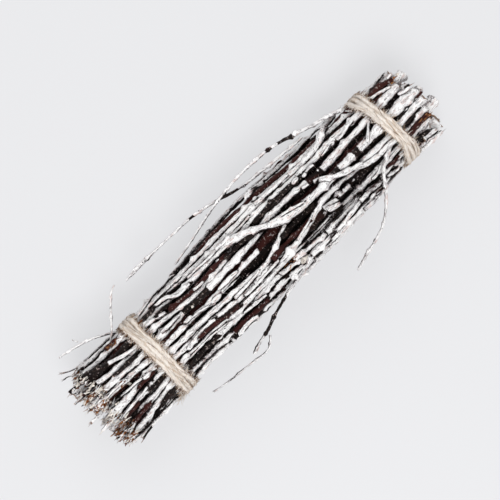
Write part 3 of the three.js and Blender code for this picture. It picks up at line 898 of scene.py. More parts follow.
@dataclass
class FrameTwigs:
    """All the twigs that the frame holds, each its own piece."""

    shape: TwigShape = field(default_factory=TwigShape)
    shoot_shape: TwigShape = field(default_factory=lambda: TwigShape(
        step=0.8, sides=9, unevenness=0.12, knot_gap=13.0, knot_rise=0.5, knot_width=1.1, bud_share=0.35,
        zigzag=0.35))
    fullness: float = 1.07  # the bark's mean radius as a share of the distance of the solid's corners
    clear_open: float = 0.55  # least openness of the shoots, which stand clear of the bundle
    end_open: float = 0.7  # the same at the bundle's ends
    ends: Span = (-127.0, 122.0)  # beyond these the spray also comes from the end
    end_depth: float = 8.0  # distance in which that spray comes to its full strength
    end_spray: float = 0.9  # least share of whitewash there
    flare: float = 0.26  # how much thicker the bark is at the end with high X, where the twigs fan out
    flare_span: Span = (112.0, 124.0)  # from where to where it gets thicker
    shoot_share: float = 0.82  # a shoot's bark is thinner than its solid, whose corners stand out
    # By the start of the name, where the first that fits counts
    coats: dict[str, Coat] = field(default_factory=lambda: {
        "top_twig_15": Coat.RED, "top_twig_16": Coat.GREY, "top_twig": Coat.WHITE, "edge_twig": Coat.WHITE,
        "side_twig": Coat.WHITE, "bottom_twig": Coat.GREY, "low_twig": Coat.PATCHY, "stray_5": Coat.GREY,
        "stray": Coat.WHITE, "under_twig_01": Coat.GREY, "under_twig_03": Coat.RED, "under_twig_06": Coat.RED,
        "under_twig_11": Coat.GREY, "": Coat.DARK})
    # Stretches along X of dark bark: some where the whitewash missed, and painted shade on top_twig_03's low
    # end, where a shadowed gap between twigs shows
    bare: dict[str, tuple[Span, ...]] = field(default_factory=lambda: {
        "top_twig_03": ((-140, -97), (61, 66), (79, 84)),
        "top_twig_05": ((-62, -41.5), (47, 59)),
        "top_twig_09": ((16, 40),),
        "top_twig_12": ((-104, -96),),
        "top_twig_13": ((-50, -20),),
        "stray_1": ((2, 17), (-17, -14)),
        "stray_2": ((54, 64), (45, 49)),
        "stray_5": ((-36, -10),),
    })

    def build(self, crowd: Crowd) -> list[tuple[str, Slot, Skin, int]]:
        """Shapes a twig for every twig node.

        Args:
            crowd: takes in the twigs.

        Returns:
            Name, slot, skin and number in the crowd of each, where a shoot that stands clear has none and
            gets -1.
        """
        slots = {row["node"]: Slot(row["material_slot"]) for row in frame["record"]["subparts"]}
        made = []
        for seed, (name, slot) in enumerate(sorted(slots.items())):
            if slot is Slot.TWINE:
                continue
            shape = self.shoot_shape if slot is Slot.SHOOT else self.shape
            route = route_of(frame["nodes"][name])
            if slot is Slot.SHOOT:
                route.radii *= self.shoot_share
            else:
                flared = smoothstep(*self.flare_span, route.points[:, 0])
                route.radii *= self.fullness * (1 + self.flare * flared)
            coat = next(coat for start, coat in self.coats.items() if name.startswith(start))
            number = -1 if slot is Slot.SHOOT else crowd.add(route)
            made.append((name, slot, shape.skin(route, seed, coat, self.bare.get(name, ())), number))
        return made

    def spray_clear_parts(self, skin: Skin, slot: Slot) -> None:
        """Adds the spray that reaches a shoot from all sides, and the other twigs at the bundle's ends.

        Args:
            skin: the twig's surface, already shaded by the crowd.
            slot: tells a shoot from the others.
        """
        x = skin.grid[..., 0]
        low, high = self.ends
        ends = smoothstep(low, low - self.end_depth, x) + smoothstep(high, high + self.end_depth, x)
        least = self.clear_open if slot is Slot.SHOOT else self.end_open * ends
        skin.traits["open"] = np.maximum(skin.traits["open"], least)
        skin.traits["spray"] = np.maximum(skin.traits["spray"], self.end_spray * ends)


@dataclass(frozen=True)
class Slender:
    """A thin twig laid on the others: what covers it, its radii at both ends, and its route from above."""

    coat: Coat
    butt: float
    tip: float
    route: tuple[Span, ...]


LOW_END_TWIGS = (
    Slender(Coat.WHITE, 0.9, 0.8, ((-134, 28.6), (-120, 28.2), (-104, 27.8), (-95, 27.4))),
    Slender(Coat.DARK, 2.4, 1.5, ((-137.5, 21.7), (-130, 21.2), (-122, 18.6), (-112, 15.6))),
    Slender(Coat.RED, 1.0, 0.8, ((-112, 24.6), (-107, 24.2), (-101, 23.8))),
    Slender(Coat.RED, 0.8, 0.5, ((-133.5, 26.6), (-130, 25.8), (-127, 26.2))),
    Slender(Coat.DARK, 1.2, 1.1, ((-144, 20.4), (-138, 20.3), (-131, 19))),
    Slender(Coat.WHITE, 1.1, 1.0, ((-115.5, 16.6), (-109, 14.4), (-102, 12.6), (-95, 11.4))),
    Slender(Coat.GREY, 0.8, 0.7, ((-147, 13.6), (-140, 13.2), (-134, 12.2), (-128, 12))),
    Slender(Coat.RED, 1.1, 0.9, ((-140, 14.6), (-134, 14), (-128, 14.4))),
    Slender(Coat.PEELED, 1.5, 1.0, ((-143, 8.6), (-137, 9.3), (-131, 9.2), (-126, 8.4))),
    Slender(Coat.WHITE, 1.0, 0.8, ((-143, 5.2), (-136, 5.8), (-128, 6.8))),
    Slender(Coat.WHITE, 0.8, 0.7, ((-132, 3.2), (-120, 2.9), (-112, 2))),
    Slender(Coat.WHITE, 0.8, 0.8, ((-135, -2.9), (-128, -2.6), (-118, -2.8), (-110, -3.2), (-104, -4.6),
                                  (-95, -5.8))),
    Slender(Coat.PEELED, 0.9, 0.9, ((-116.5, -1), (-112, -1.1))),
    Slender(Coat.WHITE, 0.8, 0.7, ((-147.5, -1), (-140, -1.4), (-133, -1))),
    Slender(Coat.WHITE, 0.8, 0.7, ((-133, -12.6), (-124, -11.8), (-114, -10.9), (-107, -9.8))),
    Slender(Coat.RED, 1.3, 1.0, ((-133, -14.2), (-126, -13.6), (-117, -13.2))),
    Slender(Coat.WHITE, 1.2, 1.1, ((-141, -27.4), (-130, -27.8), (-115, -28.2), (-99, -28.2))),
    Slender(Coat.DARK, 0.8, 0.6, ((-134, -30.4), (-129, -29.4), (-123, -28.6))),
    Slender(Coat.WHITE, 0.5, 0.4, ((-146, 30), (-140, 28.2), (-134, 26))),
    Slender(Coat.GREY, 0.45, 0.4, ((-142, 33), (-137, 30), (-131, 27.6))),
    Slender(Coat.WHITE, 0.9, 0.8, ((-146, -9.5), (-138, -8.8), (-131, -9.4))),
    Slender(Coat.GREY, 0.9, 0.7, ((-144, -20.5), (-137, -19.4), (-131, -19.8))),
    Slender(Coat.RED, 1.5, 1.2, ((-130, -19.2), (-122, -18.2), (-112, -18.2))),
    Slender(Coat.RED, 1.1, 1.1, ((-113, -6.6), (-105, -6.1), (-97.5, -6.5))),
    Slender(Coat.DARK, 1.3, 1.3, ((-111, -12.6), (-104, -12.9), (-97, -12.2))),
    Slender(Coat.DARK, 1.6, 1.5, ((-111, -23.8), (-104, -22.8), (-97, -22))),
    Slender(Coat.DARK, 0.8, 1.1, ((-119, 8.8), (-110, 8.5), (-98, 7.8))),
)
LEFT_TWIGS = (
    Slender(Coat.WHITE, 0.8, 0.7, ((-85.5, 24.2), (-78, 24.9), (-68, 26.4), (-58, 26.6), (-49, 26))),
    Slender(Coat.WHITE, 0.8, 0.7, ((-76, 23.5), (-66, 23.4), (-55, 23.2), (-46, 22.8))),
    Slender(Coat.WHITE, 1.2, 1.1, ((-71.5, 20.9), (-66, 20.6), (-61.8, 19.8), (-59.8, 17.4), (-57.8, 15.4),
                                  (-52, 15.1), (-45, 15.9))),
    Slender(Coat.GREY, 1.3, 1.2, ((-85.5, 16.8), (-79, 15.8), (-73, 14.4), (-67.6, 13.2))),
    Slender(Coat.RED, 1.5, 1.2, ((-68, 13.1), (-60, 12.4), (-50, 11.6), (-40, 11.6), (-28, 12.4), (-18, 13))),
    Slender(Coat.WHITE, 0.9, 0.7, ((-49, 11.6), (-44, 10.8), (-39, 10.7))),
    Slender(Coat.WHITE, 1.3, 1.2, ((-80, 7.2), (-74, 6.6), (-68, 7), (-62.8, 6.6))),
    Slender(Coat.PEELED, 0.8, 0.7, ((-56.5, 4.9), (-54, 4.4))),
    Slender(Coat.WHITE, 1.3, 0.6, ((-65, 1.3), (-58, 0.6), (-52, -1), (-46.5, -2.2))),
    Slender(Coat.WHITE, 1.3, 1.1, ((-77, -11.8), (-70, -10.6), (-62, -9.7), (-50, -10.2))),
    Slender(Coat.WHITE, 0.8, 0.6, ((-78, -13.6), (-70, -14.3), (-60, -13.9), (-50, -14.9), (-42, -16.4),
                                  (-34, -17.2))),
    Slender(Coat.WHITE, 0.55, 0.45, ((-80, -16), (-70, -15.6), (-60, -15.6), (-50, -16.8), (-44, -17.8))),
    Slender(Coat.DARK, 1.4, 1.3, ((-84, -19), (-72, -18.9), (-62, -19), (-54, -19.4))),
    Slender(Coat.WHITE, 1.4, 1.3, ((-85.5, -27), (-78, -26.2), (-70, -26.4), (-60, -27.4), (-54, -28.4))),
    Slender(Coat.WHITE, 0.7, 0.6, ((-46, 19), (-38, 19), (-30, 18.5), (-22, 18.1))),
    Slender(Coat.WHITE, 0.9, 0.9, ((-22, 18.8), (-10, 18.6), (0, 18.4), (9, 18.9))),
    Slender(Coat.WHITE, 0.5, 0.4, ((-27, 13.8), (-22.5, 13.6))),
    Slender(Coat.RED, 1.1, 1.5, ((-67, -11.2), (-56, -12.1), (-45, -13.4), (-34, -14.9))),
    Slender(Coat.DARK, 1.4, 1.2, ((-22, 10.8), (-12, 11), (-2, 10.4), (3, 9.4))),
    Slender(Coat.WHITE, 0.5, 0.45, ((-38, -2.5), (-28, -2.9), (-20, -3))),
    Slender(Coat.WHITE, 0.65, 0.5, ((-20.5, -6), (-17, -5.6), (-14.6, -5.2))),
    Slender(Coat.WHITE, 1.0, 0.9, ((-35, -9.8), (-26, -9.6), (-18, -9.3), (-10, -8.3))),
    Slender(Coat.WHITE, 0.9, 0.9, ((-30, -13), (-20, -13.4), (-8, -13), (2, -12.4))),
    Slender(Coat.WHITE, 0.9, 0.9, ((-34, -15.7), (-24, -16.3), (-14, -16.2), (-4, -16))),
    Slender(Coat.WHITE, 1.0, 0.8, ((-38, -20), (-30, -20.8), (-22, -21.8), (-18.3, -22))),
    Slender(Coat.WHITE, 1.0, 0.9, ((-16, -24), (-8, -22.8), (0, -23.4), (6, -24.2), (13, -24.6))),
    Slender(Coat.RED, 1.7, 1.4, ((-50, -24), (-38, -24.4), (-28, -25), (-19, -25.4))),
    # Painted shade: these two dark twigs lie on white ones where only a shadowed gap between twigs shows
    Slender(Coat.DARK, 1.4, 1.2, ((-84, 20.2), (-77, 20.3), (-70.5, 20.9))),
    Slender(Coat.DARK, 1.0, 0.9, ((-76, 16.6), (-68, 16.4), (-61.5, 15))),
    Slender(Coat.WHITE, 1.3, 1.1, ((-50, -27.6), (-42, -26.2), (-36, -26.4), (-31, -28.2))),
    Slender(Coat.WHITE, 1.1, 1.1, ((-28, -28.8), (-25, -27), (-21, -28.4), (-14, -28), (-9.5, -28.6))),
)
RIGHT_TWIGS = (
    Slender(Coat.WHITE, 1.9, 1.8, ((-2, -28.8), (15, -29.6), (35, -29.4), (55, -29), (70, -28.2))),
    Slender(Coat.WHITE, 1.2, 1.1, ((14, 21.8), (24, 20.9), (34, 20.6), (44, 20.2))),
    Slender(Coat.WHITE, 1.0, 0.9, ((-9.5, -28.4), (-2, -27.6), (5, -25.6), (11, -22.6), (16, -20.2))),
    Slender(Coat.DARK, 1.5, 1.3, ((5, 13.7), (16, 14.3), (28, 14.6), (40, 14.2), (52, 13.2), (60, 12.8))),
    Slender(Coat.DARK, 0.9, 0.8, ((19, 12.6), (26, 13.4), (33, 13.8), (40, 13.4))),
    Slender(Coat.WHITE, 0.9, 0.8, ((10, 7.4), (18, 6.2), (25, 4.9), (32, 2.9), (38, 0.9))),
    Slender(Coat.WHITE, 0.75, 0.6, ((9.5, -6.9), (13.5, -6.5))),
    Slender(Coat.RED, 1.6, 1.5, ((-3, -9.9), (8, -8.9), (18, -9), (28, -9.2), (34, -8.8))),
    Slender(Coat.DARK, 1.8, 1.7, ((11, -4.4), (22, -4), (32, -4.2), (42, -4.4))),
    Slender(Coat.WHITE, 0.6, 0.5, ((17, -12.2), (24, -10.4), (30, -9.2), (37, -6.6))),
    Slender(Coat.WHITE, 0.8, 0.7, ((-4, -15.2), (8, -15.8), (18, -16.3), (30, -16.2), (42, -16.2))),
    Slender(Coat.WHITE, 2.0, 1.7, ((41, -10.3), (46, -11), (54, -11.8))),
    Slender(Coat.WHITE, 1.7, 1.6, ((51.5, 5), (55, 3.4), (59.5, 0.2), (64, -2.2), (71, -4.8), (80, -7.4))),
    Slender(Coat.WHITE, 2.1, 1.9, ((42, -11.6), (47, -13.2), (52, -15.4))),
    Slender(Coat.WHITE, 0.6, 0.6, ((17, -19.4), (30, -19.4), (45, -19), (60, -18.6))),
    Slender(Coat.WHITE, 2.4, 2.2, ((-3, -25.4), (6, -25.8), (14, -26.2), (24, -26))),
    Slender(Coat.WHITE, 1.8, 1.6, ((-6, -19.4), (4, -20.4), (16, -21.6))),
    Slender(Coat.PEELED, 2.2, 1.6, ((9, -22.2), (12, -23.4), (15.5, -25.2))),
    Slender(Coat.WHITE, 1.5, 1.3, ((18, -20.6), (30, -20.9), (45, -20.9), (62, -20.4))),
    Slender(Coat.WHITE, 1.9, 1.8, ((32, -21.8), (46, -21.6), (60, -21.8), (70, -22.2), (80, -24))),
    Slender(Coat.WHITE, 1.8, 1.6, ((36, -25.8), (48, -25.4), (60, -25), (70, -25.4), (80, -26.6))),
    Slender(Coat.WHITE, 1.7, 1.6, ((6, -18.4), (14, -19.6), (24, -21.4), (34, -21.4))),
    Slender(Coat.WHITE, 1.6, 1.5, ((11, -27.6), (16, -24.8), (24, -24.2), (32, -24.6))),
    Slender(Coat.DARK, 0.9, 0.8, ((27.5, -27.6), (30, -28.2), (32.5, -27.8))),
    Slender(Coat.DARK, 0.35, 0.3, ((2, -27), (8.5, -26.4))),
    Slender(Coat.DARK, 0.35, 0.3, ((40, -26.6), (55, -26.2), (69, -26.4))),
    Slender(Coat.RED, 0.6, 0.5, ((71, -26.4), (76, -27.2), (83, -27.4))),
    Slender(Coat.WHITE, 1.7, 1.5, ((12, 28.8), (30, 28.6), (46, 28.3), (60, 28), (71, 27.4))),
    Slender(Coat.WHITE, 1.4, 1.2, ((16, -24.6), (30, -25), (45, -24.6), (60, -23.2), (70, -22.8))),
    Slender(Coat.WHITE, 1.3, 1.2, ((16, -27.6), (35, -27.4), (55, -27), (72, -26.6))),
    Slender(Coat.RED, 0.7, 0.45, ((41, 29), (45, 30.4), (48.5, 29.4))),
    Slender(Coat.WHITE, 1.2, 0.8, ((30, 28.2), (44, 27.6), (56, 27.2), (64, 28), (72, 27), (81, 26.4))),
    Slender(Coat.WHITE, 0.8, 0.7, ((50, 12.9), (52.5, 14), (56, 13.8), (58.8, 12.8))),
    Slender(Coat.GREY, 0.7, 0.6, ((64, 13.2), (70, 14), (76, 15.6))),
    Slender(Coat.WHITE, 1.1, 1.0, ((78, 14), (84, 13.4), (90, 14.8), (96, 16))),
    Slender(Coat.WHITE, 0.7, 0.6, ((55.3, 9), (58.5, 8.9))),
    Slender(Coat.WHITE, 1.0, 0.8, ((41, 8.6), (44, 7.4), (48, 7.2))),
    Slender(Coat.WHITE, 0.7, 0.6, ((65.5, -11), (69.8, -10.8))),
    Slender(Coat.WHITE, 1.0, 0.9, ((76, -18), (80, -19.4), (84, -17.6), (88, -16))),
    Slender(Coat.WHITE, 1.5, 1.4, ((60, -22.4), (68, -22.8), (78, -23.8), (81, -24.8))),
    Slender(Coat.GREY, 1.2, 1.1, ((58, -27.8), (70, -28.6), (82, -28), (98, -26.8))),
    Slender(Coat.WHITE, 1.5, 1.3, ((84, -24.4), (92, -25), (99, -24.4))),
    Slender(Coat.WHITE, 0.9, 0.8, ((96.6, 24.4), (99, 21.5), (101, 18.8))),
    Slender(Coat.WHITE, 1.1, 1.0, ((103, 8.8), (99, 6.4), (95.6, 3.6), (92.4, 1), (90, -1.2))),
    Slender(Coat.WHITE, 0.8, 0.7, ((87, -17.8), (95, -17.2), (103, -16.6))),
    Slender(Coat.RED, 1.0, 0.9, ((88, -20), (95, -20.6), (102, -20))),
)
HIGH_END_TWIGS = (
    Slender(Coat.DARK, 0.5, 0.5, ((111.5, 19.4), (122, 21), (133, 22.6))),
    Slender(Coat.RED, 1.7, 1.7, ((113, 18.6), (120, 18.2), (127, 17), (132.5, 15.6))),
    Slender(Coat.WHITE, 1.2, 1.2, ((127.5, 18.8), (134.5, 18.6))),
    Slender(Coat.WHITE, 1.0, 0.9, ((112, 17), (117, 16.6), (122, 15), (128, 13))),
    Slender(Coat.WHITE, 1.2, 1.2, ((125, 6.3), (130, 5.4), (135.5, 5.2))),
    Slender(Coat.DARK, 0.8, 0.7, ((130, 7.4), (136, 6))),
    Slender(Coat.RED, 0.7, 0.7, ((130.5, -2.9), (138.5, -2.3))),
    Slender(Coat.RED, 1.9, 1.9, ((112, -15.4), (119, -15.2), (126, -15), (132.5, -15))),
    Slender(Coat.GREY, 2.2, 2.3, ((116.5, -24.6), (123, -25.2), (129.5, -25.4))),
    Slender(Coat.WHITE, 1.2, 1.1, ((112, -28), (120, -28.6), (130.5, -28.8))),
    Slender(Coat.PEELED, 0.8, 0.7, ((133.5, 16.2), (137, 15.6))),
    Slender(Coat.RED, 1.0, 0.9, ((111, 14.4), (119, 13.6))),
    Slender(Coat.DARK, 0.7, 0.6, ((113.5, -4.2), (123, -3.5), (133, -2.7))),
    Slender(Coat.DARK, 0.8, 0.7, ((113, -9.8), (122, -9.1), (131, -8.4))),
    Slender(Coat.DARK, 1.3, 1.0, ((111, -21.5), (118, -21.9), (125, -22.2))),
)


@dataclass(frozen=True)
class Bud:
    """A swollen bud or a blunt rounded patch of bark lying along the twigs, by its middle seen from above."""

    x: float
    y: float
    radius: float
    length: float
    coat: Coat = Coat.WHITE


BUDS = (
    Bud(-76, 0.6, 1.5, 4.6), Bud(-62.5, 1.3, 1.3, 7), Bud(-41.6, -1.9, 1.8, 8.4),
    Bud(-29, 0.9, 1.7, 17, Coat.GREY),
    Bud(-80.5, -13.9, 1.9, 8), Bud(-16, -24, 1.5, 6), Bud(-47, -18.5, 1.2, 5.5), Bud(49.2, 12.8, 1.2, 3.6),
    Bud(42.6, 14.4, 1.4, 5.6), Bud(18, 24.3, 1.2, 3.6), Bud(61.6, -11, 1.7, 6.4), Bud(69, -26, 1.2, 5),
    Bud(-103, -4.9, 1.3, 6), Bud(-99, -9.6, 1.4, 7), Bud(96, -22.6, 1.2, 5, Coat.GREY),
)


@dataclass
class LaidTwigs:
    """Slender twigs and buds that rest on the frame's twigs, one piece for each part of the bundle."""

    level: float = 52.0  # height of the upper face
    sight: Span = (0.113, 0.111)  # shift along X and Y of a sight line for each unit of depth
    bands: tuple[Span, ...] = ((-96.0, -84.0), (102.0, 113.0))  # where twine holds them down
    band_margin: float = 6.0  # distance in which the hold fades on both sides of a band
    held_down: float = 1.6  # by how many radii
    lid: float = 61.6  # height that no laid twig rises above, knots apart
    ends: Span = (-129.0, 128.0)  # past these a twig lies as high as it does there
    inwards: float = 0.8  # share of its distance from the middle at which a twig beside the bundle is lowered
    rounds: int = 4  # of finding a place and its height
    fewest_points: int = 4  # of a line, which has about one in each millimetre
    bridge: int = 3  # how many points each way a twig bridges
    stiffness: float = 0.5  # how far it does so
    smoothing: int = 9  # points under the bell that smooths its line
    blunt: float = 0.985  # share of a bud's half length at which its tube ends
    sunk: float = 0.45  # how deep a bud lies between its neighbours, as a share of its radius
    shape: TwigShape = field(default_factory=lambda: TwigShape(
        step=0.8, sides=10, unevenness=0.13, knot_gap=15.0, knot_rise=0.35, knot_width=1.2, bud_share=0.5,
        bud_length=2.6, zigzag=0.3))
    bud_shape: TwigShape = field(default_factory=lambda: TwigShape(
        step=0.5, sides=12, unevenness=0.1, knot_gap=60.0, knot_rise=0.0, bud_share=0.0, zigzag=0.0,
        slant=0.1, splinter=0.0))

    def settle(self, crowd: Crowd, seen: Array, radii: Array) -> tuple[Array, Array]:
        """Finds where a line touches the crowd on the sight lines that it is seen on.

        A twig lower down than the upper face looks shifted, so its place is moved along the sight line by the
        height that is missing, which changes the height again. A few rounds of this are enough.

        Args:
            crowd: what it comes to lie on.
            seen: X and Y of the line on the level of the upper face.
            radii: its radius at each point.

        Returns:
            X and Y of the line, and its height.
        """
        points = seen
        order = np.arange(len(seen))
        for _ in range(self.rounds):
            x = np.clip(points[:, 0], *self.ends)
            height = crowd.crown(x, points[:, 1], radii)
            if np.isnan(height).all():
                height = crowd.crown(x, points[:, 1] * self.inwards, radii)
            held = ~np.isnan(height)
            height = np.interp(order, order[held], height[held])
            points = seen + (self.level - height)[:, None] * np.array(self.sight)
        return points, height

    def lay(self, crowd: Crowd, seen: Array, radii: Array) -> Route:
        """Lowers a line onto the crowd, where it bridges small gaps because it is stiff.

        Args:
            crowd: what it comes to lie on.
            seen: X and Y of the line on the level of the upper face, about a millimetre apart.
            radii: its radius at each point.

        Returns:
            The line where it comes to rest.
        """
        points, height = self.settle(crowd, seen, radii)
        order = np.arange(len(height))
        shifts = range(-self.bridge, self.bridge + 1)
        highest = np.max([np.interp(order + shift, order, height) for shift in shifts], axis=0)
        bridged = self.stiffness * highest + (1 - self.stiffness) * height
        for low, high in self.bands:
            begun = smoothstep(low - self.band_margin, low, points[:, 0])
            ended = smoothstep(high, high + self.band_margin, points[:, 0])
            bridged = bridged - self.held_down * radii * (begun - ended)
        bridged = np.minimum(bridged, self.lid - radii)
        return Route(smooth_line(np.column_stack([points, bridged]), self.smoothing), radii)

    def twig(self, crowd: Crowd, slender: Slender, seed: int) -> tuple[Skin, int]:
        """Shapes one slender twig.

        Args:
            crowd: carries it, and takes it in.
            slender: its measures.
            seed: makes its own unevenness.

        Returns:
            Its surface and its number in the crowd.
        """
        corners = np.array(slender.route, dtype=float)
        radii = np.linspace(slender.butt, slender.tip, len(corners))
        flat = Route(np.column_stack([corners, np.zeros(len(corners))]), radii)
        count = max(int(flat.length()), self.fewest_points)
        points, radii = flat.at(np.linspace(0, flat.length(), count))
        route = self.lay(crowd, points[:, :2], radii)
        return self.shape.skin(route, seed, slender.coat), crowd.add(route)

    def bud(self, crowd: Crowd, bud: Bud, seed: int) -> tuple[Skin, int]:
        """Shapes one bud: a tube whose radius is the root of one minus the half length's share squared.

        Args:
            crowd: carries it, and takes it in.
            bud: its measures.
            seed: makes its own unevenness.

        Returns:
            Its surface and its number in the crowd.
        """
        rows = max(int(bud.length / self.bud_shape.step), self.bud_shape.fewest_rows)
        share = np.linspace(-self.blunt, self.blunt, rows)
        radii = bud.radius * np.sqrt(1 - share**2)
        points = np.column_stack([bud.x + share * bud.length / 2, np.full(rows, bud.y)])
        points, height = self.settle(crowd, points, np.full(rows, bud.radius))
        level = height.mean() - self.sunk * bud.radius
        route = Route(np.column_stack([points, np.full(rows, level)]), radii)
        return self.bud_shape.skin(route, seed, bud.coat), crowd.add(route)

    def build(self, crowd: Crowd) -> dict[str, list[tuple[Skin, int]]]:
        """Lays all slender twigs and buds, each on what lies there already.

        Args:
            crowd: carries them, and takes them in.

        Returns:
            Skins and their numbers in the crowd, by piece name.
        """
        groups = {"low_end_twigs": LOW_END_TWIGS, "left_twigs": LEFT_TWIGS, "right_twigs": RIGHT_TWIGS,
                  "high_end_twigs": HIGH_END_TWIGS}
        seeds = itertools.count(TWIG_SEED)
        made = {name: [self.twig(crowd, slender, next(seeds)) for slender in twigs]
                for name, twigs in groups.items()}
        made["buds"] = [self.bud(crowd, bud, BUD_SEED + number) for number, bud in enumerate(BUDS)]
        return made


@dataclass(frozen=True)
class Litter:
    """A heap of torn chips lying on the twigs: its ranges along X and Y, their count and what they are."""

    x: Span
    y: Span
    count: int
    coat: Coat


LITTER = (
    Litter((-141, -129), (-24, 27), 110, Coat.WHITE), Litter((-141, -129), (-24, 26), 90, Coat.PEELED),
    Litter((-142, -129), (-22, 26), 45, Coat.DARK), Litter((-141, -131), (-24, 26), 40, Coat.TORN),
    Litter((-142, -130), (0, 4), 24, Coat.TORN), Litter((-142, -133), (-12, -5), 20, Coat.PEELED),
    Litter((-142, -130), (-16, -12), 30, Coat.TORN), Litter((-141, -131), (-21, -18), 14, Coat.DARK),
    Litter((-143, -134), (-25, -20), 10, Coat.TORN), Litter((-143, -130), (8, 11), 14, Coat.TORN),
    Litter((-141, -131), (19, 24), 16, Coat.PEELED), Litter((-137, -131), (24, 28), 14, Coat.TORN),
    Litter((-110, -101), (22.5, 24.5), 7, Coat.TORN), Litter((-120, -115), (0.5, 3), 6, Coat.TORN),
    Litter((3, 9), (-20.5, -17.5), 7, Coat.TORN), Litter((124, 131), (-16, -13.5), 11, Coat.TORN),
    Litter((126, 132), (14, 18), 5, Coat.TORN), Litter((124, 131), (-6, 6), 8, Coat.WHITE),
)


@dataclass
class Splinters:
    """Torn fibres of wood that stand out of the cut ends, and chips that lie between them."""

    reach: Span = (1.2, 4.5)
    most: int = 9  # on one cut end
    high_end_share: float = 0.2  # how many of them the cleaner end with high X has
    low_end: float = -120.0  # past these places along X a twig reaches an end of the bundle
    high_end: float = 118.0
    thick: Span = (0.14, 0.42)
    chip_thick: Span = (0.25, 0.75)
    flatness: Span = (0.4, 1.0)
    taper: float = 0.75
    open_share: float = 1.3  # how open a wholly sprayed one lies
    coats: tuple[Coat, ...] = (Coat.TORN, Coat.PEELED, Coat.WHITE)
    shares: tuple[float, ...] = (0.4, 0.3, 0.3)  # of the splinters, in the order of the coats
    sides: int = 4
    rows: int = 6

    def sliver(self, start: Array, heading: Array, bent: Array, reach: float, thick: float,
               coat: Coat, rng: Random) -> Skin:
        """One thin flat tapering tube on a curl.

        Args:
            start: where it is rooted.
            heading: its direction there.
            bent: how it curves away.
            reach: its length.
            thick: its radius at the root.
            coat: what covers it.
            rng: gives its lumps and colours.

        Returns:
            Its closed surface.
        """
        around = even_angles(self.sides)
        steps = np.linspace(0, 1, self.rows)
        side = unit(np.cross(heading, UPWARDS))
        line = curl(start, heading, bent, reach, self.rows)
        width = thick * (1 - self.taper * steps) * (1 + 0.25 * np.sin(steps * rng.uniform(5, 14)))
        flat = rings(side, np.cross(side, heading) * rng.uniform(*self.flatness), around)
        grid = line[:, None] + flat * width[:, None, None]
        bark = joined(steps[:, None] * reach + rng.uniform(0, 900), 0.4 * np.cos(around),
                      0.4 * np.sin(around))
        spray, red, peel = coat.value
        values = {"cut": 0.0, "spray": spray, "red": red, "peel": peel, "open": self.open_share * spray}
        traits = {trait: np.full(grid.shape[:2], value) for trait, value in values.items()}
        return Skin(grid, line[[0, -1]], {**traits, "bark": bark})

    def at_end(self, middle: Array, heading: Array, radius: float, count: int, seed: int) -> list[Skin]:
        """Splinters of one cut end.

        Args:
            middle: the end's middle.
            heading: the direction out of the end.
            radius: the twig's radius.
            count: how many there are.
            seed: places and bends them.

        Returns:
            Their surfaces.
        """
        rng = np.random.default_rng(seed)
        side = unit(np.cross(heading, UPWARDS))
        up = np.cross(side, heading)
        skins = []
        for _ in range(count):
            angle = rng.uniform(0, TURN)
            out = side * math.cos(angle) + up * math.sin(angle)
            start = middle - heading * 1.0 + out * radius * rng.uniform(0.2, 0.9)
            bent = out * rng.uniform(-0.1, 0.45) + up * rng.uniform(-0.1, 0.25)
            coat = rng.choice(self.coats, p=self.shares)
            reach, thick = rng.uniform(*self.reach), rng.uniform(*self.thick)
            skins.append(self.sliver(start, heading, bent, reach, thick, coat, rng))
        return skins

    def heap(self, crowd: Crowd, litter: Litter, seed: int) -> list[Skin]:
        """Chips of one heap, each turned a little away from the twigs' direction.

        Args:
            crowd: carries them.
            litter: where they lie.
            seed: places and bends them.

        Returns:
            Their surfaces.
        """
        rng = np.random.default_rng(seed)
        x = rng.uniform(*litter.x, litter.count)
        y = rng.uniform(*litter.y, litter.count)
        level = crowd.crown(x, y, np.full(litter.count, 0.3))
        skins = []
        for place in np.column_stack([x, y, level])[~np.isnan(level)]:
            heading = unit(np.array([rng.choice([-1, 1]), rng.normal(0, 0.3), rng.normal(0, 0.12)]))
            bent = np.array([0, rng.normal(0, 0.2), rng.uniform(-0.1, 0.15)])
            reach, thick = rng.uniform(*self.reach), rng.uniform(*self.chip_thick)
            skins.append(self.sliver(place, heading, bent, reach, thick, litter.coat, rng))
        return skins

    def build(self, crowd: Crowd, skins: list[Skin], material: bpy.types.Material) -> None:
        """Frays the ends of all twigs that reach an end of the bundle, and strews the chips.

        Args:
            crowd: carries the chips.
            skins: the twigs.
            material: the finish.
        """
        caps = len(TwigShape().cap_shares)
        rng = np.random.default_rng(SPLINTER_SEED)
        torn = []
        for number, skin in enumerate(skins):
            for row, inner, pole in ((caps, caps + 3, 0), (-caps - 1, -caps - 4, 1)):
                rim = skin.grid[row]
                middle = rim.mean(axis=0)
                low_end = middle[0] < self.low_end
                if not low_end and middle[0] < self.high_end:
                    continue
                heading = unit(middle - skin.grid[inner].mean(axis=0))
                radius = np.linalg.norm(rim - middle, axis=1).mean()
                count = int(rng.integers(0, self.most + 1) * (1.0 if low_end else self.high_end_share))
                torn += self.at_end(middle, heading, radius, count, END_SEED + 2 * number + pole)
        for number, litter in enumerate(LITTER):
            torn += self.heap(crowd, litter, HEAP_SEED + number)
        build_piece("splinters", torn, material)


@dataclass(frozen=True)
class Fibres:
    """One kind of loose fibre: its range of length and of thickness, and the tones that it comes in.

    A tone is 0 for a pale fibre and 1 for a brown one.
    """

    reach: Span
    thick: Span
    tones: tuple[float, ...]
    shares: tuple[float, ...] | None = None  # of the tones, all alike where none are given


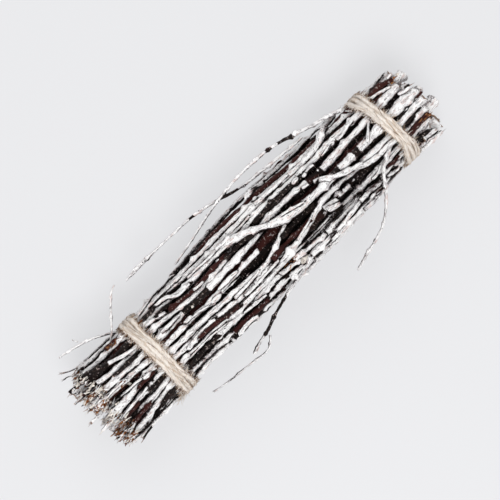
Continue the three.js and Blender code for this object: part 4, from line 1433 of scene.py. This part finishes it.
@dataclass
class TwineBand:
    """Turns of jute twine wound side by side round the twigs, on the line of a band of the frame."""

    node: str
    turns: int = 3
    swing: float = 0.0  # how much further along X the band runs on the side of low Y
    fan: float = 0.0  # share by which the turns spread on both sides of the bundle
    tuft: int = 0  # how many strands of the twine's frayed end stick out on the side of low Y
    radius: float = 1.72
    plies: int = 2
    groove: float = 0.14  # depth of the groove between the plies, as a share of the radius
    roughness: float = 0.06
    lay: float = 9.0  # distance in which the plies turn once round each other
    wander: float = 0.22  # how far a turn strays along X
    crossing: Span = (0.62, 0.92)  # part of a round, on the underside, where it steps over
    step: float = 0.55
    sides: int = 20
    directions: int = 72
    strands: int = 700  # how many fibres lie along the twine
    fuzz: int = 900  # how many stand off
    fringe: int = 420  # how many lie over the twigs beside it
    # The reach of a lying fibre is counted in steps of the twine
    laid: Fibres = Fibres((12, 48), (0.1, 0.26), (0.0, 0.25, 0.5, 0.75), (0.4, 0.3, 0.2, 0.1))
    fuzzy: Fibres = Fibres((1.0, 3.6), (0.05, 0.1), (0.0, 0.4, 0.7, 1.0), (0.35, 0.25, 0.2, 0.2))
    stiff: Fibres = Fibres((2.0, 5.0), (0.16, 0.34), (0.0, 0.5, 1.0), (0.35, 0.25, 0.4))
    frayed: Fibres = Fibres((3.0, 8.5), (0.12, 0.25), (0.0, 0.3, 0.6))

    def outline(self) -> tuple[Array, float, float]:
        """The twine's middle line in the band's section and the band's place.

        For each direction round the band the solid's furthest reach is taken, less the twine's radius, and
        the outline is where neighbouring tangents cross.

        Returns:
            Corners as Y and Z, the band's middle along X, and its width.
        """
        places = places_of(frame["nodes"][self.node])
        angles = even_angles(self.directions)
        normals = np.stack([np.cos(angles), np.sin(angles)], axis=-1)
        reach = (places[:, 1:] @ normals.T).max(axis=0) - self.radius
        after = np.roll(normals, -1, axis=0)
        reach_after = np.roll(reach, -1)
        cross = normals[:, 0] * after[:, 1] - normals[:, 1] * after[:, 0]
        y = (reach * after[:, 1] - reach_after * normals[:, 1]) / cross
        z = (reach_after * normals[:, 0] - reach * after[:, 0]) / cross
        low, high = places[:, 0].min(), places[:, 0].max()
        return np.stack([y, z], axis=-1), (low + high) / 2, high - low

    def path(self, rng: Random) -> Array:
        """The twine's middle line: the outline wound several times while it moves along X.

        Args:
            rng: gives the turns their small wander.

        Returns:
            Points at even steps.
        """
        outline, middle, width = self.outline()
        closed = np.concatenate([outline, outline[:1]])
        at = np.concatenate([[0.0], np.cumsum(np.linalg.norm(np.diff(closed, axis=0), axis=1))])
        girth = at[-1]
        along = np.arange(0.0, girth * self.turns, self.step)
        y, z = (np.interp(along % girth, at, value) for value in closed.T)
        room = width / 2 - self.radius
        eased = np.floor(along / girth) + smoothstep(*self.crossing, (along % girth) / girth)
        place = 2 * np.minimum(eased, self.turns - 1) / max(self.turns - 1, 1) - 1
        x = middle + place * room * (1 + self.fan * smoothstep(12, 25, np.abs(y)))
        x = x + self.wander * ripple(rng, along, 22.0) + self.swing * smoothstep(-4, 24, -y)
        return smooth_line(np.stack([x, y, z], axis=-1), 13)

    def strand_frame(self, path: Array) -> tuple[Array, Array, Array]:
        """Directions along the twine, across the band and out of it."""
        tangent = unit(np.gradient(path, axis=0))
        side = unit(np.array([1.0, 0.0, 0.0]) - tangent * tangent[:, :1])
        return tangent, side, np.cross(tangent, side)

    def twine(self, path: Array, rng: Random) -> Skin:
        """Carries a lobed section along the path, turned once in every lay.

        The radius at an angle is the twine's, less a groove between the plies: a rectified cosine of half the
        plies' angle, turned with the distance along the twine.

        Args:
            path: the middle line.
            rng: gives the plies their unevenness.

        Returns:
            The twine's closed surface.
        """
        along = np.arange(len(path)) * self.step
        around = even_angles(self.sides)
        _, side, up = self.strand_frame(path)
        turned = around[None, :] - (TURN * along / self.lay)[:, None]
        lobes = np.abs(np.cos(self.plies * turned / 2))
        uneven = 1 + self.roughness * relief(rng, along, around, 4.0, 6)
        radius = self.radius * (1 - self.groove + self.groove * lobes) * uneven
        ends = np.minimum(smoothstep(-0.1, 3.0, along), smoothstep(-0.1, 3.0, along[-1] - along))
        radius = radius * (0.35 + 0.65 * ends)[:, None]
        grid = path[:, None] + rings(side, up, around) * radius[..., None]
        strand = joined(along[:, None], self.radius * np.cos(turned), self.radius * np.sin(turned))
        return Skin(grid, path[[0, -1]], {"strand": strand, "tone": np.full(grid.shape[:2], 0.05)})

    def hair(self, line: Array, thick: float, tone: float, rng: Random) -> Skin:
        """One fibre: a three-sided tube along a line, thinner to its end.

        Args:
            line: its middle line.
            thick: its radius at the root.
            tone: 0 for a pale one, 1 for a brown one.
            rng: shifts its pattern.

        Returns:
            Its closed surface.
        """
        around = even_angles(3)
        tangent = unit(np.gradient(line, axis=0))
        across = unit(np.cross(tangent, SKEW))
        taper = thick * np.linspace(1, 0.35, len(line))
        grid = line[:, None] + rings(across, np.cross(across, tangent), around) * taper[:, None, None]
        strand = joined(np.arange(len(line))[:, None] + rng.uniform(0, 500), 0.1 * np.cos(around),
                        0.1 * np.sin(around))
        return Skin(grid, line[[0, -1]], {"strand": strand, "tone": np.full(grid.shape[:2], tone)})

    def grown(self, line: Array, kind: Fibres, rng: Random) -> Skin:
        """A fibre of a kind along a line."""
        tone = rng.choice(kind.tones, p=kind.shares)
        return self.hair(line, rng.uniform(*kind.thick), tone, rng)

    def lying(self, path: Array, rng: Random) -> list[Skin]:
        """Long fibres that follow the twine's surface while they creep round it.

        Args:
            path: the twine's middle line.
            rng: places and bends them.

        Returns:
            Their closed surfaces.
        """
        _, side, up = self.strand_frame(path)
        skins = []
        for at in rng.integers(2, len(path) - 60, self.strands):
            rows = np.arange(at, at + int(rng.integers(*self.laid.reach)), 3)
            angle = rng.uniform(0, TURN) + np.linspace(0, rng.uniform(-2.2, 2.2), len(rows))
            lift = self.radius * (0.97 + 0.09 * np.abs(np.sin(np.linspace(0, math.pi, len(rows)))))
            out = side[rows] * np.cos(angle)[:, None] + up[rows] * np.sin(angle)[:, None]
            skins.append(self.grown(path[rows] + out * lift[:, None], self.laid, rng))
        return skins

    def standing(self, path: Array, rng: Random) -> list[Skin]:
        """Short fibres that leave the twine at a low angle and stand off at the band's edges.

        Args:
            path: the twine's middle line.
            rng: places and bends them.

        Returns:
            Their closed surfaces.
        """
        tangent, side, up = self.strand_frame(path)
        middle = path[:, 0].mean()
        skins = []
        for at in rng.integers(2, len(path) - 2, self.fuzz):
            edge = math.copysign(1.0, path[at, 0] - middle + rng.normal(0, 1.2))
            angle = rng.normal(0, 0.7)
            out = side[at] * math.cos(angle) * edge + up[at] * math.sin(angle)
            reach = rng.uniform(*self.fuzzy.reach)
            heading = tangent[at] * rng.choice([-1, 1]) * rng.uniform(0.4, 1)
            heading = heading + side[at] * edge * rng.uniform(0, 0.8)
            bent = out * rng.uniform(-0.1, 0.6) + up[at] * rng.uniform(-0.5, 0.4)
            line = curl(path[at] + out * self.radius * 0.9, heading, bent, reach, 6)
            skins.append(self.grown(line, self.fuzzy, rng))
        return skins

    def spikes(self, path: Array, rng: Random) -> list[Skin]:
        """Short stiff fibres that leave the outermost turns across the band and lie over the twigs beside it.

        Args:
            path: the twine's middle line.
            rng: places and bends them.

        Returns:
            Their closed surfaces.
        """
        tangent, side, up = self.strand_frame(path)
        turn = len(path) // self.turns
        skins = []
        for _ in range(self.fringe):
            edge = rng.choice([-1, 1])
            at = rng.integers(2, turn) if edge < 0 else rng.integers(len(path) - turn, len(path) - 2)
            root = side[at] * edge * 0.7 + up[at] * rng.uniform(-0.3, 0.6)
            heading = side[at] * edge * rng.uniform(0.6, 1.0) + tangent[at] * rng.normal(0, 0.35)
            bent = up[at] * rng.uniform(-0.3, 0.25) + tangent[at] * rng.normal(0, 0.3)
            line = curl(path[at] + root * self.radius, heading, bent, rng.uniform(*self.stiff.reach), 5)
            skins.append(self.grown(line, self.stiff, rng))
        return skins

    def frayed_end(self, path: Array, rng: Random) -> list[Skin]:
        """Strands of the twine's frayed end, which stick out along X beside the lowest Y of the first turn.

        Args:
            path: the twine's middle line.
            rng: places and bends them.

        Returns:
            Their closed surfaces.
        """
        lowest = path[np.argmin(path[:len(path) // self.turns, 1])]
        skins = []
        for _ in range(self.tuft):
            start = lowest + np.array([rng.normal(-1.0, 1.5), rng.uniform(-0.5, 1.5), rng.normal(2.0, 3.5)])
            heading = np.array([-1.0, rng.normal(-0.1, 0.25), rng.normal(-0.1, 0.3)])
            line = curl(start, heading, rng.normal(0, 0.25, 3), rng.uniform(*self.frayed.reach), 5)
            thick = rng.uniform(*self.frayed.thick)
            skins.append(self.hair(line, thick, rng.choice(self.frayed.tones), rng))
        return skins

    def build(self, seed: int, material: bpy.types.Material) -> None:
        """Makes the band's twine and its loose fibres.

        Args:
            seed: makes the band's own unevenness.
            material: the twine's finish.
        """
        rng = np.random.default_rng(seed)
        path = self.path(rng)
        build_piece(f"{self.node}_twine", [self.twine(path, rng)], material, (self.node,))
        fibres = [skin for kind in (self.lying, self.standing, self.spikes, self.frayed_end)
                  for skin in kind(path, rng)]
        build_piece(f"{self.node}_fibres", fibres, material)


@dataclass(frozen=True)
class Lamp:
    """A square soft lamp: where it stands and how wide it is in millimetres, and its power in watts."""

    name: str
    place: Triple
    size: float
    power: float


@dataclass
class Studio:
    """A pale floor, soft light and the camera, with places in millimetres."""

    azimuth: float = -45.6
    elevation: float = 81.0
    distance: float = 900.0
    frame_width: float = 310.0  # how much of the bundle's plane the picture is wide
    target: Triple = (-3.9, 6.8, 28.0)
    lamps: tuple[Lamp, ...] = (Lamp("key", (-450.0, -700.0, 1300.0), 700.0, 19.5),
                               Lamp("fill", (400.0, 900.0, 1200.0), 1500.0, 10.5))
    surround: Triple = (0.98, 0.98, 1.0)
    surround_strength: float = 0.6
    floor_half: float = 1500.0
    floor_colour: Triple = (0.215, 0.217, 0.222)
    # painted light: the floor glows in this colour and strength, though it is no lamp
    floor_light: Triple = (0.985, 0.985, 1.0)
    floor_glow: float = 0.525
    sensor: float = 36.0
    sight_end: float = 10000.0

    def build(self) -> None:
        """Places floor, lights and camera, and sets the plain colour transform."""
        self._floor()
        self._lights()
        self._camera()
        bpy.context.scene.view_settings.view_transform = "Standard"

    def _floor(self) -> None:
        """A flat white sheet under the bundle that glows though it is no lamp.

        The glow is painted light: it lights the bundle from below, so that hardly a shadow shows.
        """
        mesh = bpy.data.meshes.new("floor")
        half = self.floor_half * METRES
        corners = [(-half, -half, 0), (half, -half, 0), (half, half, 0), (-half, half, 0)]
        mesh.from_pydata(corners, [], [(0, 1, 2, 3)])
        floor = bpy.data.objects.new("floor", mesh)
        bpy.context.scene.collection.objects.link(floor)
        sheet = Sheet("pale_floor")
        sheet.shader.inputs["Base Color"].default_value = (*self.floor_colour, 1)
        sheet.shader.inputs["Emission Color"].default_value = (*self.floor_light, 1)
        sheet.shader.inputs["Emission Strength"].default_value = self.floor_glow
        sheet.shader.inputs["Roughness"].default_value = 0.9
        sheet.shader.inputs["Specular IOR Level"].default_value = 0.1
        mesh.materials.append(sheet.material)

    def _lights(self) -> None:
        """One large soft lamp from the picture's lower left, a weaker one opposite, and an even surround."""
        for spec in self.lamps:
            lamp = bpy.data.lights.new(spec.name, "AREA")
            lamp.shape = "SQUARE"
            lamp.size = spec.size * METRES
            lamp.energy = spec.power
            self._stand(spec.name, lamp, np.array(spec.place))
        world = bpy.data.worlds.new("surround")
        world.use_nodes = True
        background = world.node_tree.nodes["Background"]
        background.inputs["Color"].default_value = (*self.surround, 1)
        background.inputs["Strength"].default_value = self.surround_strength
        bpy.context.scene.world = world

    def _stand(self, name: str, data: bpy.types.ID, place: Array) -> bpy.types.Object:
        """Puts a lamp or a camera at a place, turned to look at the target."""
        stood = bpy.data.objects.new(name, data)
        stood.location = place * METRES
        stood.rotation_euler = Vector(np.array(self.target) - place).to_track_quat("-Z", "Y").to_euler()
        bpy.context.scene.collection.objects.link(stood)
        return stood

    def _camera(self) -> None:
        """A long lens that looks down on the bundle."""
        a, e = math.radians(self.azimuth), math.radians(self.elevation)
        back = np.array([math.sin(a) * math.cos(e), -math.cos(a) * math.cos(e), math.sin(e)])
        camera = bpy.data.cameras.new("camera")
        camera.sensor_width = self.sensor
        camera.lens = self.sensor * self.distance / self.frame_width
        camera.clip_end = self.sight_end * METRES
        place = np.array(self.target) + back * self.distance
        bpy.context.scene.camera = self._stand("camera", camera, place)


def main() -> None:
    """Builds the studio, the twigs and the bands."""
    logging.basicConfig(level=logging.INFO, format="%(name)s %(message)s")
    Studio().build()
    bark = Bark().material()
    crowd = Crowd()
    frame_twigs = FrameTwigs()
    twigs = frame_twigs.build(crowd)
    laid = LaidTwigs().build(crowd)
    for name, slot, skin, number in twigs:
        crowd.shade(skin, number)
        frame_twigs.spray_clear_parts(skin, slot)
        build_piece(f"{name}_bark", [skin], bark, (name,))
    for name, skins in laid.items():
        for skin, number in skins:
            crowd.shade(skin, number)
        build_piece(name, [skin for skin, _ in skins], bark)
    torn = [skin for _, slot, skin, _ in twigs if slot is not Slot.SHOOT]
    torn += [skin for skins in laid.values() for skin, _ in skins]
    Splinters().build(crowd, torn, bark)
    jute = Jute().material()
    TwineBand("low_tie", fan=0.15, tuft=90, fringe=700).build(LOW_TIE_SEED, jute)
    TwineBand("high_tie", swing=2.4, fan=0.6).build(HIGH_TIE_SEED, jute)


if __name__ == "__main__":
    main()
